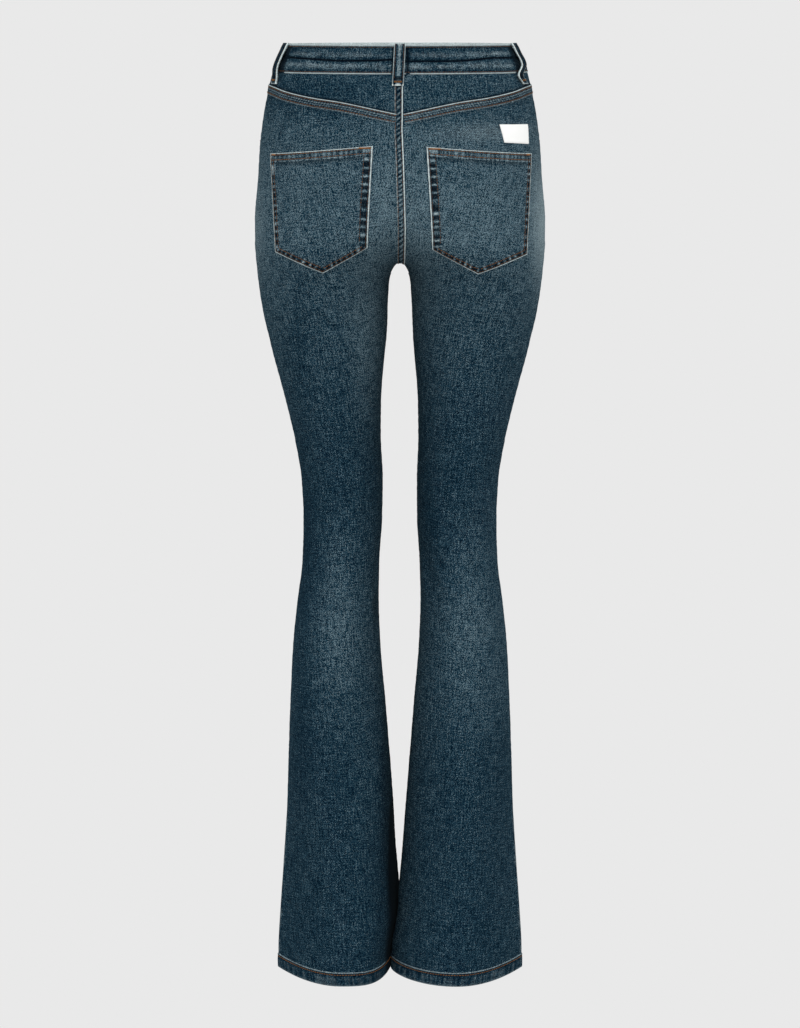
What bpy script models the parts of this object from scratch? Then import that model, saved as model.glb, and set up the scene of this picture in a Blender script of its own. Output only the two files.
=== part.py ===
"""Flared jeans, filled out as worn: leg panels, yokes, waistband, loops, pockets and button.

The origin is the centre of the waist opening, level with the waistband's top edge. +Z is up, the wearer
faces -Y and +X is the wearer's left. Tables and sizes are in millimetres, and MM turns them to metres.
"""

from collections import namedtuple
import math

import bpy
import numpy as np

MM = 0.001

WAISTBAND_DEPTH = 33.0
CROTCH = -254.0
HEM = -1115.0

CLOTH = 1.4  # wall of one denim panel
SEAM_GAP = 0.3  # between neighbouring pieces
BAND_INSIDE = 2.2  # waistband's inner face, inwards from the panels' outer face
HEM_FOLD = 17.0
HEM_PROUD = 0.8  # the folded hem stands this far out of the panel on both faces

# One side of the body from the waist down. outer and inner are distances from the centre plane; inner is
# negative where the two sides run into one tube. side_y and seam_y are the places of the side seam and
# of the inseam, front and back the reach forward and backward from the line between them.
Section = namedtuple("Section", "z outer inner side_y seam_y front back")
SECTIONS = (
    Section(0, 135.0, -135.0, 0, 0, 92, 95),
    Section(-33, 148.0, -148.0, 1, 1, 98, 102),
    Section(-65, 155.0, -155.0, 3, 3, 102, 109),
    Section(-110, 162.0, -160.0, 5, 5, 106, 119),
    Section(-160, 165.5, -142.0, 7, 7, 108, 125),
    Section(-200, 169.0, -96.0, 8, 7, 107, 124),
    Section(-230, 169.2, -36.0, 8, 6, 105, 119),
    Section(-246, 168.4, -8.0, 7, 5, 102, 114),
    Section(-254, 167.6, 0.0, 7, 4, 100, 111),
    Section(-263, 167.0, 3.6, 6, 3, 98, 108),
    Section(-274, 165.9, 7.2, 5, 2, 96, 105),
    Section(-300, 162.5, 13.6, 4, 0, 93, 99),
    Section(-346, 152.9, 15.9, 1, -2, 88, 92),
    Section(-417, 135.0, 21.3, -3, -4, 82, 85),
    Section(-465, 124.0, 22.0, -4, -5, 78, 80),
    Section(-513, 116.6, 20.4, -4, -5, 74, 75),
    Section(-561, 114.5, 20.9, -4, -5, 71, 71),
    Section(-610, 115.9, 23.9, -2, -4, 69, 72),
    Section(-659, 122.1, 24.5, 1, -2, 68, 74),
    Section(-708, 127.2, 22.8, 2, 0, 69, 76),
    Section(-781, 131.2, 16.9, 3, 1, 71, 77),
    Section(-856, 134.1, 10.9, 3, 2, 73, 76),
    Section(-905, 135.8, 6.5, 3, 2, 74, 76),
    Section(-980, 140.9, 0.5, 2, 2, 75, 76),
    Section(-1040, 145.4, -5.0, 1, 3, 75, 76),
    Section(-1090, 148.2, -10.5, 0, 4, 75, 76),
    Section(-1115, 148.4, -10.8, 0, 4, 75, 76),
)

# The legs differ along the inseam: each is drawn back a little (drawn), and in the flare the left one is
# turned forward (turn), so that the right one passes behind it. square and full shape the cloth behind each
# inseam: a square below 1 sharpens its corner, and full is 1 for an oval and 2 for a lens with a creased edge.
Inseam = namedtuple("Inseam", "z drawn turn")
LEFT_INSEAM = (
    Inseam(-256, 0.0, 0.0), Inseam(-274, 1.3, 0.0), Inseam(-300, 0.9, 0.0), Inseam(-325, 0.2, 0.0),
    Inseam(-372, 1.3, 0.0), Inseam(-450, 1.2, 0.0), Inseam(-510, 0.3, 0.0), Inseam(-560, 0.7, 0.0),
    Inseam(-660, 1.2, 0.0), Inseam(-856, 1.0, 0.0), Inseam(-905, 2.2, -12.0), Inseam(-980, 4.4, -40.0),
    Inseam(-1010, 4.6, -49.0), Inseam(-1040, 5.0, -56.0), Inseam(-1090, 16.8, -60.0), Inseam(-1115, 18.2, -60.0),
)
RIGHT_INSEAM = (
    Inseam(-256, 0.0, 0.0), Inseam(-274, 0.6, 0.0), Inseam(-325, 0.0, 0.0), Inseam(-510, 0.0, 0.0),
    Inseam(-600, -0.4, 0.0), Inseam(-660, 0.3, 0.0), Inseam(-856, 0.3, 0.0), Inseam(-905, 0.9, 0.0),
    Inseam(-980, 1.1, 0.0), Inseam(-1010, 1.0, 0.0), Inseam(-1045, 2.6, 0.0), Inseam(-1090, 0.2, 0.0),
    Inseam(-1115, 0.0, 0.0),
)
Leg = namedtuple("Leg", "name side inseam square full")
LEGS = (
    Leg("left", 1, LEFT_INSEAM, 0.62, 0.90),
    Leg("right", -1, RIGHT_INSEAM, 1.0, 1.35),
)
TURN_POWER = 6  # a turned inseam moves only the cloth near it
CREASE = 2.0  # the side seams are creased as in a lens where the flare is pressed
PRESSED_FROM, PRESSED_TO = -760.0, -1040.0

# Between these heights the half turn of the hips widens to a leg's whole turn. The power keeps the change
# near the centre, so that the lines down the outer part of a panel run smoothly past the crotch.
EVEN_FROM, EVEN_TO, EVEN_POWER = -130.0, -330.0, 5

# Rounding of the seat seam and of the arch between the legs, which fades out down the thighs.
SADDLE, SADDLE_REACH = 9.0, 30.0
SADDLE_FADE_FROM, SADDLE_FADE_TO = -262.0, -300.0
SADDLE_START_FROM, SADDLE_START_TO = -110.0, -190.0

# Soft folds of the worn cloth, as long low ridges (height above 0) and troughs: the middle of each as a
# share of the way from side seam to centre and a height, its half width and half length, and its slant.
Fold = namedtuple("Fold", "leg face share z width length slant height")
FOLDS = (
    Fold("left", "back", 0.88, -640, 9, 48, 0.10, -1.8),
    Fold("right", "back", 0.80, -612, 16, 30, 0.55, -2.2),
    Fold("left", "back", 0.55, -318, 46, 14, 0.0, -1.6),
    Fold("right", "back", 0.55, -320, 46, 14, 0.0, -1.6),
    Fold("left", "front", 0.55, -545, 50, 16, -0.1, -1.8),
    Fold("right", "front", 0.50, -552, 48, 16, 0.1, -1.8),
    Fold("left", "front", 0.70, -300, 14, 45, -0.6, -1.6),
    Fold("right", "front", 0.72, -296, 14, 45, 0.6, -1.5),
)

# The panels' rows, as the heights where each meets the side seam and the centre seam or inseam.
# The yoke seam takes the place of the first back row.
YokePoint = namedtuple("YokePoint", "share z")
YOKE_SEAM = (
    YokePoint(0.0, -46.5), YokePoint(0.2, -49.0), YokePoint(0.36, -54.0), YokePoint(0.57, -60.5),
    YokePoint(0.7, -64.0), YokePoint(1.0, -78.0),
)
BACK_ROWS = (
    (-47, -78), (-76, -99), (-107, -122), (-138, -147), (-170, -173), (-200, -198),
    (-224, -217), (-240, -231), (-250, -241), (-257, -248), (-262, -252), (-266, -254),
    (-272, -256.5), (-280, -261), (-291, -268), (-306, -281), (-326, -303), (-350, -335),
    (-380, -372), (-413, -410),
)
FRONT_ROWS = (
    (-33, -33), (-56, -52), (-76, -70), (-92, -86), (-102, -98), (-108, -106), (-110, -109),
    (-136, -136), (-165, -165), (-195, -194), (-220, -214), (-238, -229), (-249, -240),
    (-257, -248), (-262, -252), (-266, -254), (-272, -256.5), (-280, -261), (-291, -268),
    (-306, -281), (-326, -303), (-350, -335), (-380, -372), (-413, -410),
)
LEG_ROWS = (
    -447, -482, -517, -552, -587, -622, -657, -697, -742, -792, -842, -892, -942, -987, -1029,
    -1067, HEM + HEM_FOLD + 1.0, HEM + HEM_FOLD, HEM,
)
# A panel is one piece of cloth. Its solid is parted at these rows, a seam gap apart, so that every
# length of the leg is a simple wall round its own hollow.
PARTED_AT = (-350, -587, -842)
LENGTH_NAMES = ("", "_knee", "_calf", "_flare")
PANEL_COLUMNS = 14
ROW_BEND = 2.0  # rows stay level over the outer part of a panel and bend near the centre
YOKE_ROWS = 4
SHARP_ANGLE = 50.0

# The scooped front pocket: its mouth leaves the waistband this share of the way to the centre.
MOUTH_SHARE, MOUTH_END, MOUTH_POWER = 0.46, -110.0, 2.4
FACING_UNDER, FACING_DROP = 0.07, 2.6
FACING_ROWS = (-33, -52, -72, -90, -104, -116, -128)

# Fly: the left front laps over the right one, raised by its own wall.
LAP_REACH, LAP_RAISE = 5.5, 2.0
LAP_REACH_FROM, LAP_REACH_TO = -150.0, -172.0
LAP_RAISE_FROM, LAP_RAISE_TO = -196.0, -216.0
LAP_RAISE_SHARES, LAP_REACH_SHARES = (0.84, 0.93), (0.86, 1.0)

# Waistband's outline from its lower edge up the outer face and down the inner one: height, and distance
# out of the panels' face.
BandPoint = namedtuple("BandPoint", "z out")
BAND_OUTLINE = (
    BandPoint(-33.0, 0.7), BandPoint(-29.0, 1.2), BandPoint(-22.5, 1.6), BandPoint(-17.5, 0.3),
    BandPoint(-12.0, 1.5), BandPoint(-5.0, 1.3), BandPoint(-0.5, 0.6), BandPoint(0.0, -0.8),
    BandPoint(-0.5, 0.4 - BAND_INSIDE), BandPoint(-WAISTBAND_DEPTH / 2, -BAND_INSIDE),
    BandPoint(-WAISTBAND_DEPTH, -BAND_INSIDE),
)
BAND_STEPS = 60
BAND_OVER, BAND_UNDER = 5.5, 30.0  # how far the upper and the under end run past the centre front
BAND_TUCK, TUCK_FROM, TUCK_TO = 4.4, 40.0, 16.0  # the under end bends in by the tuck, from and to these places

# Belt loops, from the waistband's top down: height, and the inner and outer face's distance out.
LoopPoint = namedtuple("LoopPoint", "z inner outer")
LOOP_FACE = (
    LoopPoint(1.2, 1.9, 4.4), LoopPoint(-3.5, 2.2, 5.6), LoopPoint(-8.0, 3.4, 6.0),
    LoopPoint(-14.0, 4.3, 6.5), LoopPoint(-21.0, 4.5, 6.7), LoopPoint(-27.5, 4.0, 6.2),
    LoopPoint(-32.5, 3.0, 5.4), LoopPoint(-36.5, 1.8, 4.6), LoopPoint(-39.5, 0.5, 4.0),
    LoopPoint(-45.5, 0.5, 3.2),
)
LOOP_WIDTH = 13.0
Loop = namedtuple("Loop", "name leg face share lean")
LOOPS = (
    Loop("loop_back", "left", "back", 1.0, 2.5),
    Loop("loop_back_left", "left", "back", 0.20, 0.0),
    Loop("loop_back_right", "right", "back", 0.20, 0.0),
    Loop("loop_front_left", "left", "front", 0.62, 0.0),
    Loop("loop_front_right", "right", "front", 0.62, 0.0),
)

# What lies on the back panels: corners as a share of the way from side seam to centre seam, and a height.
Patch = namedtuple("Patch", "leg top_out top_in low_in point low_out")
POCKETS = (
    Patch("left", (0.280, -126), (0.882, -114.5), (0.812, -225), (0.568, -255.5), (0.318, -232)),
    Patch("right", (0.258, -126), (0.885, -115.5), (0.813, -227), (0.561, -256.7), (0.300, -235.5)),
)
POCKET_STAND = 0.8  # a pocket's back stands this far off the panel's face
POCKET_ROWS, POCKET_HALF_COLUMNS = 8, 5

LABEL = Patch("right", (0.260, -91.0), (0.498, -90.0), (0.478, -110.5), (0.377, -112.0), (0.276, -113.5))
LABEL_THICK = 1.0
LABEL_ROWS, LABEL_HALF_COLUMNS = 2, 2

BUTTON_RADIUS, BUTTON_X, BUTTON_TILT, BUTTON_GAP = 8.5, 9.0, 10.0, 0.4
# Button's outline, as a share of its radius and the distance out of its flat back.
BUTTON_OUTLINE = ((0.0, 0.0), (0.88, 0.0), (1.0, 0.9), (0.97, 2.1), (0.82, 2.9), (0.62, 2.5), (0.0, 2.3))
BUTTON_SIDES = 24

Finish = namedtuple("Finish", "colour roughness metallic")
DENIM = Finish((0.021, 0.054, 0.089), 0.9, 0.0)
LABEL_CLOTH = Finish((0.83, 0.83, 0.81), 0.8, 0.0)
BRASS = Finish((0.50, 0.33, 0.16), 0.38, 1.0)


def monotone(xs, ys, x):
    """Smooth curve through the points (xs rising) that never overshoots them, at x."""
    xs, ys, x = (np.asarray(v, float) for v in (xs, ys, x))
    step, rise = np.diff(xs), np.diff(ys)
    slope = rise / step
    tangent = np.zeros_like(xs)
    same = slope[:-1] * slope[1:] > 0
    weight = 2 * step[1:] + step[:-1], step[1:] + 2 * step[:-1]
    inside = np.zeros(len(xs) - 2)
    inside[same] = ((weight[0] + weight[1]) / (weight[0] / np.where(same, slope[:-1], 1)
                    + weight[1] / np.where(same, slope[1:], 1)))[same]
    tangent[1:-1] = inside
    tangent[0], tangent[-1] = slope[0], slope[-1]
    i = np.clip(np.searchsorted(xs, x, side="right") - 1, 0, len(step) - 1)
    t = np.clip((x - xs[i]) / step[i], 0, 1)
    return (ys[i] * (1 + 2 * t) * (1 - t) ** 2 + ys[i + 1] * t * t * (3 - 2 * t)
            + step[i] * (tangent[i] * t * (1 - t) ** 2 - tangent[i + 1] * t * t * (1 - t)))


def ease(start, end, x):
    """0 at start and before it, 1 at end and past it, and smooth between."""
    t = np.clip((np.asarray(x, float) - start) / (end - start), 0, 1)
    return t * t * (3 - 2 * t)


def column(name, z):
    """A column of SECTIONS at the heights z."""
    rows = SECTIONS[::-1]
    return monotone([row.z for row in rows], [getattr(row, name) for row in rows], z)


def around(leg, share, z, forward):
    """Points on the cloth's outer face, forward True on the front half, in mm.

    share runs from 0 at the side seam to 1 at the centre seam or, below the crotch, at the inseam.
    """
    share, z = np.broadcast_arrays(np.asarray(share, float), np.asarray(z, float))
    outer, inner = column("outer", z), column("inner", z)
    half, middle = (outer - inner) / 2, (outer + inner) / 2
    end = np.where(z > CROTCH, np.arccos(np.clip(-middle / half, -1, 1)), math.pi)
    even = math.pi / 2 * (1 + ease(EVEN_FROM, EVEN_TO, z))
    angle = share * even + (end - even) * share**EVEN_POWER
    c, s = np.cos(angle), np.abs(np.sin(angle))
    pressed, inside = ease(PRESSED_FROM, PRESSED_TO, z), c < 0
    square = 1 + (leg.square - 1) * pressed
    full = 1 + (np.where(inside, leg.full, CREASE) - 1) * pressed
    inseam = leg.inseam[::-1]
    heights = [row.z for row in inseam]
    inner_half = half - monotone(heights, [row.drawn for row in inseam], z)
    away = middle + np.where(inside, -inner_half * np.abs(c) ** square, half * c)
    saddle = ease(SADDLE_START_FROM, SADDLE_START_TO, z) * ease(SADDLE_FADE_TO, SADDLE_FADE_FROM, z)
    near = np.maximum(away, 0)
    rounded = np.sqrt(near**2 + 2 * SADDLE * saddle * near * np.exp(-near / SADDLE_REACH))
    away = np.where(saddle > 0, rounded, away)
    inward = (1 - c) / 2
    line = column("side_y", z) * (1 - inward) + column("seam_y", z) * inward
    line += monotone(heights, [row.turn for row in inseam], z) * inward**TURN_POWER
    reach = -column("front", z) if forward else column("back", z)
    return np.stack([leg.side * away, line + reach * s**full, z], axis=-1)


def outward(leg, share, z, forward):
    """Unit normals of the smooth surface, pointing out of the cloth."""
    d = 1e-4
    low, high = np.clip(share - d, 0, 1), np.clip(share + d, 0, 1)
    across = around(leg, high, z, forward) - around(leg, low, z, forward)
    along = around(leg, share, z + 0.5, forward) - around(leg, share, z - 0.5, forward)
    n = np.cross(across, along) * leg.side * (-1 if forward else 1)
    seam = (np.asarray(share) <= 0) | ((np.asarray(share) >= 1) & (np.asarray(z) <= CROTCH))
    seat = (np.asarray(share) >= 1) & (np.asarray(z) > CROTCH)
    n[..., 1] = np.where(seam, 0, n[..., 1])
    n[..., 0] = np.where(seat, 0, n[..., 0])
    return n / np.linalg.norm(n, axis=-1, keepdims=True)


def fold_height(leg, share, z, forward):
    """How far the folds lift the cloth here."""
    face = "front" if forward else "back"
    total = np.zeros(np.broadcast(share, z).shape)
    for fold in FOLDS:
        if (fold.leg, fold.face) != (leg.name, face):
            continue
        here = around(leg, np.array(fold.share), np.array(float(fold.z)), forward)
        points = around(leg, share, z, forward)
        girth = np.hypot(points[..., 0] - here[0], points[..., 1] - here[1])
        girth = girth * np.sign(np.asarray(share) - fold.share) - fold.slant * (z - fold.z)
        total += fold.height * np.exp(-((girth / fold.width) ** 2) - ((z - fold.z) / fold.length) ** 2)
    return total


def cloth_points(leg, share, z, forward, out):
    """Points the distance out from the folded outer face, half a seam gap clear of the neighbours."""
    lift = out + fold_height(leg, share, z, forward)
    points = around(leg, share, z, forward) + outward(leg, share, z, forward) * lift[..., None]
    points[..., 0] += leg.side * SEAM_GAP / 2
    points[..., 1] += (-1 if forward else 1) * SEAM_GAP / 2
    return points


def material(name, finish):
    made = bpy.data.materials.get(name) or bpy.data.materials.new(name)
    made.use_nodes = True
    shader = made.node_tree.nodes["Principled BSDF"]
    shader.inputs["Base Color"].default_value = (*finish.colour, 1)
    shader.inputs["Roughness"].default_value = finish.roughness
    shader.inputs["Metallic"].default_value = finish.metallic
    made.diffuse_color = (*finish.colour, 1)
    return made


def add_object(name, points, faces, finish_name, finish):
    """A named object from points in mm and faces that point out."""
    mesh = bpy.data.meshes.new(name)
    mesh.from_pydata((np.asarray(points).reshape(-1, 3) * MM).tolist(), [], faces)
    mesh.materials.append(material(finish_name, finish))
    mesh.shade_smooth()
    mesh.set_sharp_from_angle(angle=math.radians(SHARP_ANGLE))
    made = bpy.data.objects.new(name, mesh)
    bpy.context.scene.collection.objects.link(made)
    return made


def turned(face):
    """The face facing the other way, with the same first corner and so the same diagonal."""
    return [face[0], *face[:0:-1]]


def add_wall(name, outside, inside, finish_name, finish):
    """A closed wall between two grids of points, whichever way round they run."""
    rows, columns = outside.shape[:2]
    count = rows * columns
    index = np.arange(count).reshape(rows, columns)
    faces = []
    for r in range(rows - 1):
        for c in range(columns - 1):
            quad = [index[r, c + 1], index[r + 1, c + 1], index[r + 1, c], index[r, c]]
            faces.append(quad)
            faces.append([corner + count for corner in turned(quad)])
    rim = [*index[0], *index[1:, -1], *index[-1, -2::-1], *index[-2:0:-1, 0]]
    for a, b in zip(rim, rim[1:] + rim[:1]):
        faces.append([b, a, a + count, b + count])
    u, v = outside[1, 1] - outside[1, 0], outside[1, 0] - outside[0, 0]
    out = outside[1, 0] - inside[1, 0]
    if np.dot(np.cross(u, v), out) < 0:
        faces = [turned(face) for face in faces]
    faces = [[int(corner) for corner in face] for face in faces]
    return add_object(name, np.concatenate([outside.reshape(-1, 3), inside.reshape(-1, 3)]), faces,
                      finish_name, finish)


def row_heights(pairs, bend):
    """Heights of each row at each column, from pairs of side and centre heights."""
    share = np.linspace(0, 1, PANEL_COLUMNS + 1)
    pairs = np.array([(pair if isinstance(pair, tuple) else (pair, pair)) for pair in pairs], float)
    return share, pairs[:, :1] + (pairs[:, 1:] - pairs[:, :1]) * share**bend


def lengths(pairs, z):
    """Name and row heights of each length of a panel, half a seam gap short of where it is parted."""
    sides = [pair[0] if isinstance(pair, tuple) else pair for pair in pairs]
    cuts = [0, *(sides.index(height) for height in PARTED_AT), len(sides) - 1]
    for name, first, last in zip(LENGTH_NAMES, cuts, cuts[1:]):
        rows = z[first : last + 1].copy()
        rows[0] -= SEAM_GAP / 2 if first else 0
        rows[-1] += SEAM_GAP / 2 if last < len(sides) - 1 else 0
        yield name, rows


def hem_offsets(z):
    """Outer and inner face's distance out, with the hem's fold standing proud of both."""
    folded = z <= HEM + HEM_FOLD
    return np.where(folded, HEM_PROUD, 0.0), np.where(folded, -CLOTH - HEM_PROUD, -CLOTH)


def yoke_seam(share):
    return monotone([point.share for point in YOKE_SEAM], [point.z for point in YOKE_SEAM], share)


def back_panel(leg):
    share, z = row_heights(BACK_ROWS + LEG_ROWS, ROW_BEND)
    z[0] = yoke_seam(share) - SEAM_GAP / 2
    for length, rows in lengths(BACK_ROWS + LEG_ROWS, z):
        across = np.broadcast_to(share, rows.shape)
        out, inside = hem_offsets(rows)
        add_wall(f"back_{leg.name}{length}", cloth_points(leg, across, rows, False, out),
                 cloth_points(leg, across, rows, False, inside), "denim", DENIM)


def mouth_share(z):
    """Where the front pocket's mouth is at the height z, 0 below its end."""
    t = np.clip((z + WAISTBAND_DEPTH) / (MOUTH_END + WAISTBAND_DEPTH), 0, 1)
    return MOUTH_SHARE * np.sqrt(1 - t**MOUTH_POWER)


def lap(share, z):
    """Shares of the fly's raise and reach: 1 at the centre front, 0 away from it and below the fly."""
    raised = ease(LAP_RAISE_TO, LAP_RAISE_FROM, z) * ease(*LAP_RAISE_SHARES, share)
    return raised, ease(LAP_REACH_TO, LAP_REACH_FROM, z) * ease(*LAP_REACH_SHARES, share)


def front_panel(leg):
    share, z = row_heights(FRONT_ROWS + LEG_ROWS, ROW_BEND)
    z[0] -= SEAM_GAP
    for length, rows in lengths(FRONT_ROWS + LEG_ROWS, z):
        mouth = mouth_share(rows[:, :1])
        across = mouth + (1 - mouth) * share
        out, inside = hem_offsets(rows)
        outer = cloth_points(leg, across, rows, True, out)
        inner = cloth_points(leg, across, rows, True, inside)
        if leg.name == "left":
            raised, over = lap(across, rows)
            shift = outward(leg, across, rows, True) * (LAP_RAISE * raised)[..., None]
            shift[..., 0] -= leg.side * LAP_REACH * over
            outer, inner = outer + shift, inner + shift
        add_wall(f"front_{leg.name}{length}", outer, inner, "denim", DENIM)


def yoke(leg):
    share = np.linspace(0, 1, PANEL_COLUMNS + 1)
    low = yoke_seam(share) + SEAM_GAP / 2
    high = np.full_like(share, -WAISTBAND_DEPTH - SEAM_GAP)
    z = high + (low - high) * np.linspace(0, 1, YOKE_ROWS)[:, None]
    share = np.broadcast_to(share, z.shape)
    add_wall(f"yoke_{leg.name}", cloth_points(leg, share, z, False, 0 * z),
             cloth_points(leg, share, z, False, 0 * z - CLOTH), "denim", DENIM)


def facing(leg):
    z = np.array(FACING_ROWS, float)[:, None] - SEAM_GAP
    share = np.minimum(mouth_share(z) + FACING_UNDER, MOUTH_SHARE + FACING_UNDER) * np.linspace(0, 1, 9)
    z = np.broadcast_to(z, share.shape)
    add_wall(f"facing_{leg.name}", cloth_points(leg, share, z, True, 0 * z - FACING_DROP),
             cloth_points(leg, share, z, True, 0 * z - FACING_DROP - CLOTH), "denim", DENIM)


def waist_point(angle, z, out):
    """A point of the waistband, angle 0 at the centre front and turning to the wearer's right."""
    half = column("outer", z)
    line = column("side_y", z)
    depth = np.where(np.cos(angle) > 0, column("front", z), column("back", z))
    x, y = -half * np.sin(angle), line - depth * np.cos(angle)
    n = np.stack([-depth * np.sin(angle), -half * np.cos(angle)], axis=-1)
    n /= np.linalg.norm(n, axis=-1, keepdims=True)
    return np.stack([x + n[..., 0] * out, y + n[..., 1] * out, z + 0 * x], axis=-1)


def waistband():
    half = column("outer", -WAISTBAND_DEPTH / 2)
    angle = np.linspace(-BAND_UNDER / half, 2 * math.pi + BAND_OVER / half, BAND_STEPS + 1)
    tuck = BAND_TUCK * ease(TUCK_FROM / half, TUCK_TO / half, angle)
    rings = [waist_point(angle, np.full_like(angle, point.z), point.out - tuck) for point in BAND_OUTLINE]
    points = np.stack(rings, axis=1)
    around_count, profile_count = points.shape[:2]
    index = np.arange(around_count * profile_count).reshape(around_count, profile_count)
    faces = []
    for a in range(around_count - 1):
        for p in range(profile_count):
            q = (p + 1) % profile_count
            faces.append([index[a, p], index[a + 1, p], index[a + 1, q], index[a, q]])
    faces.append(list(index[0]))
    faces.append(list(index[-1][::-1]))
    faces = [[int(corner) for corner in face][::-1] for face in faces]
    add_object("waistband", points, faces, "denim", DENIM)


def leg_named(name):
    return next(leg for leg in LEGS if leg.name == name)


def belt_loop(loop):
    """A strap standing out of the waistband and tacked to the cloth below it."""
    leg, forward = leg_named(loop.leg), loop.face == "front"
    z = np.array([point.z for point in LOOP_FACE])
    share = np.full_like(z, loop.share)
    base = around(leg, share, np.minimum(z, 0), forward)
    base[:, 2] = z
    middle = len(z) // 2
    normal = outward(leg, share, z, forward)[middle] * (1, 1, 0)
    normal /= np.linalg.norm(normal)
    side = np.cross((0, 0, 1), normal)
    lean = loop.lean * (z[0] - z) / (z[0] - z[-1])
    base += np.outer(lean, (1, 0, 0))
    inner = base + np.outer([point.inner for point in LOOP_FACE], normal)
    outer = base + np.outer([point.outer for point in LOOP_FACE], normal)
    half = side * LOOP_WIDTH / 2
    add_wall(loop.name, np.stack([outer - half, outer + half], axis=1),
             np.stack([inner - half, inner + half], axis=1), "denim", DENIM)


def patch(name, shape, out, thick, rows, half_columns, finish_name, finish):
    """A flat piece lying on the back panel, with a straight top and a lower edge in two slopes."""
    leg = leg_named(shape.leg)
    split = (shape.point[0] - shape.low_out[0]) / (shape.low_in[0] - shape.low_out[0])
    u = np.concatenate([np.linspace(0, split, half_columns + 1), np.linspace(split, 1, half_columns + 1)[1:]])
    top = np.array(shape.top_out) + np.outer(u, np.subtract(shape.top_in, shape.top_out))
    low = np.stack([np.interp(u, (0, split, 1), (shape.low_out[i], shape.point[i], shape.low_in[i]))
                    for i in (0, 1)], axis=1)
    down = np.linspace(0, 1, rows + 1)[:, None, None]
    grid = top + (low - top) * down
    share, z = grid[..., 0], grid[..., 1]
    add_wall(name, cloth_points(leg, share, z, False, 0 * z + out + thick),
             cloth_points(leg, share, z, False, 0 * z + out), finish_name, finish)


def button():
    z = -WAISTBAND_DEPTH / 2
    ring = np.arange(BUTTON_SIDES) * 2 * math.pi / BUTTON_SIDES
    points = []
    for share, out in BUTTON_OUTLINE[1:-1]:
        r = BUTTON_RADIUS * share
        points += [(r * math.cos(a), -out, r * math.sin(a)) for a in ring]
    points += [(0, 0, 0), (0, -BUTTON_OUTLINE[-1][1], 0)]
    back, top = len(points) - 2, len(points) - 1
    faces = []
    levels = len(BUTTON_OUTLINE) - 2
    for i in range(BUTTON_SIDES):
        j = (i + 1) % BUTTON_SIDES
        faces.append([back, j, i])
        for level in range(levels - 1):
            a, b = level * BUTTON_SIDES, (level + 1) * BUTTON_SIDES
            faces.append([a + j, b + j, b + i, a + i])
        last = (levels - 1) * BUTTON_SIDES
        faces.append([top, last + i, last + j])
    tilt = math.radians(BUTTON_TILT)
    points = np.array(points, float)
    y = points[:, 1] * math.cos(tilt) + points[:, 2] * math.sin(tilt)
    points[:, 2] = -points[:, 1] * math.sin(tilt) + points[:, 2] * math.cos(tilt)
    points[:, 1] = y
    crest = max(point.out for point in BAND_OUTLINE)
    front = column("side_y", z) - column("front", z) - crest - BUTTON_GAP
    points += (BUTTON_X, front, z)
    add_object("button", points, faces, "brass", BRASS)


def main():
    for old in list(bpy.data.objects):
        bpy.data.objects.remove(old, do_unlink=True)
    for leg in LEGS:
        back_panel(leg)
        front_panel(leg)
        yoke(leg)
        facing(leg)
    waistband()
    button()
    for loop in LOOPS:
        belt_loop(loop)
    for shape in POCKETS:
        patch(f"back_pocket_{shape.leg}", shape, POCKET_STAND, CLOTH, POCKET_ROWS, POCKET_HALF_COLUMNS,
              "denim", DENIM)
    patch("label", LABEL, SEAM_GAP, LABEL_THICK, LABEL_ROWS, LABEL_HALF_COLUMNS, "label_cloth", LABEL_CLOTH)


main()
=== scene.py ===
import math

import bpy
import numpy as np
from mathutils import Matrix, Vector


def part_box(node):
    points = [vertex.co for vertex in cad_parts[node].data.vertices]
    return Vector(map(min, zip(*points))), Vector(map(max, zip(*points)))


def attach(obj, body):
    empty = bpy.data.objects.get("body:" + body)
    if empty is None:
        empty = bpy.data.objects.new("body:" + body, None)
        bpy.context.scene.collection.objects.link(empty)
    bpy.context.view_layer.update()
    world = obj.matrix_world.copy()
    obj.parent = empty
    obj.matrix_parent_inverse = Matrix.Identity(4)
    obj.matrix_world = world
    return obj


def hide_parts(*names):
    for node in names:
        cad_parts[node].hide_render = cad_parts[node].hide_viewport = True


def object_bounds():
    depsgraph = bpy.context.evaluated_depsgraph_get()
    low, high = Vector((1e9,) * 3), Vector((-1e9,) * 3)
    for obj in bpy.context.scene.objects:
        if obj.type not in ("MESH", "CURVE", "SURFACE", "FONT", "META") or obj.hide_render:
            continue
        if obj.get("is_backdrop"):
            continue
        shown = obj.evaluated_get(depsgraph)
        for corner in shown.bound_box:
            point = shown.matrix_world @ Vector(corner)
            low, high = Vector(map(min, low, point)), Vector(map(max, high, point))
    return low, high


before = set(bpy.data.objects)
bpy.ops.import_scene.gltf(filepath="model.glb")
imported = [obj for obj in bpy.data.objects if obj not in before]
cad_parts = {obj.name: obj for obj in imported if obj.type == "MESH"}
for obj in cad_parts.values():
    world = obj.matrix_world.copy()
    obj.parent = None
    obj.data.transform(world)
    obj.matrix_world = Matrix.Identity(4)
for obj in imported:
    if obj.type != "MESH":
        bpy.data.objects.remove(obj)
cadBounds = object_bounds()
print("frame loaded:", len(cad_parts), "solids")

mm = 0.001
body = "root"

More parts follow.
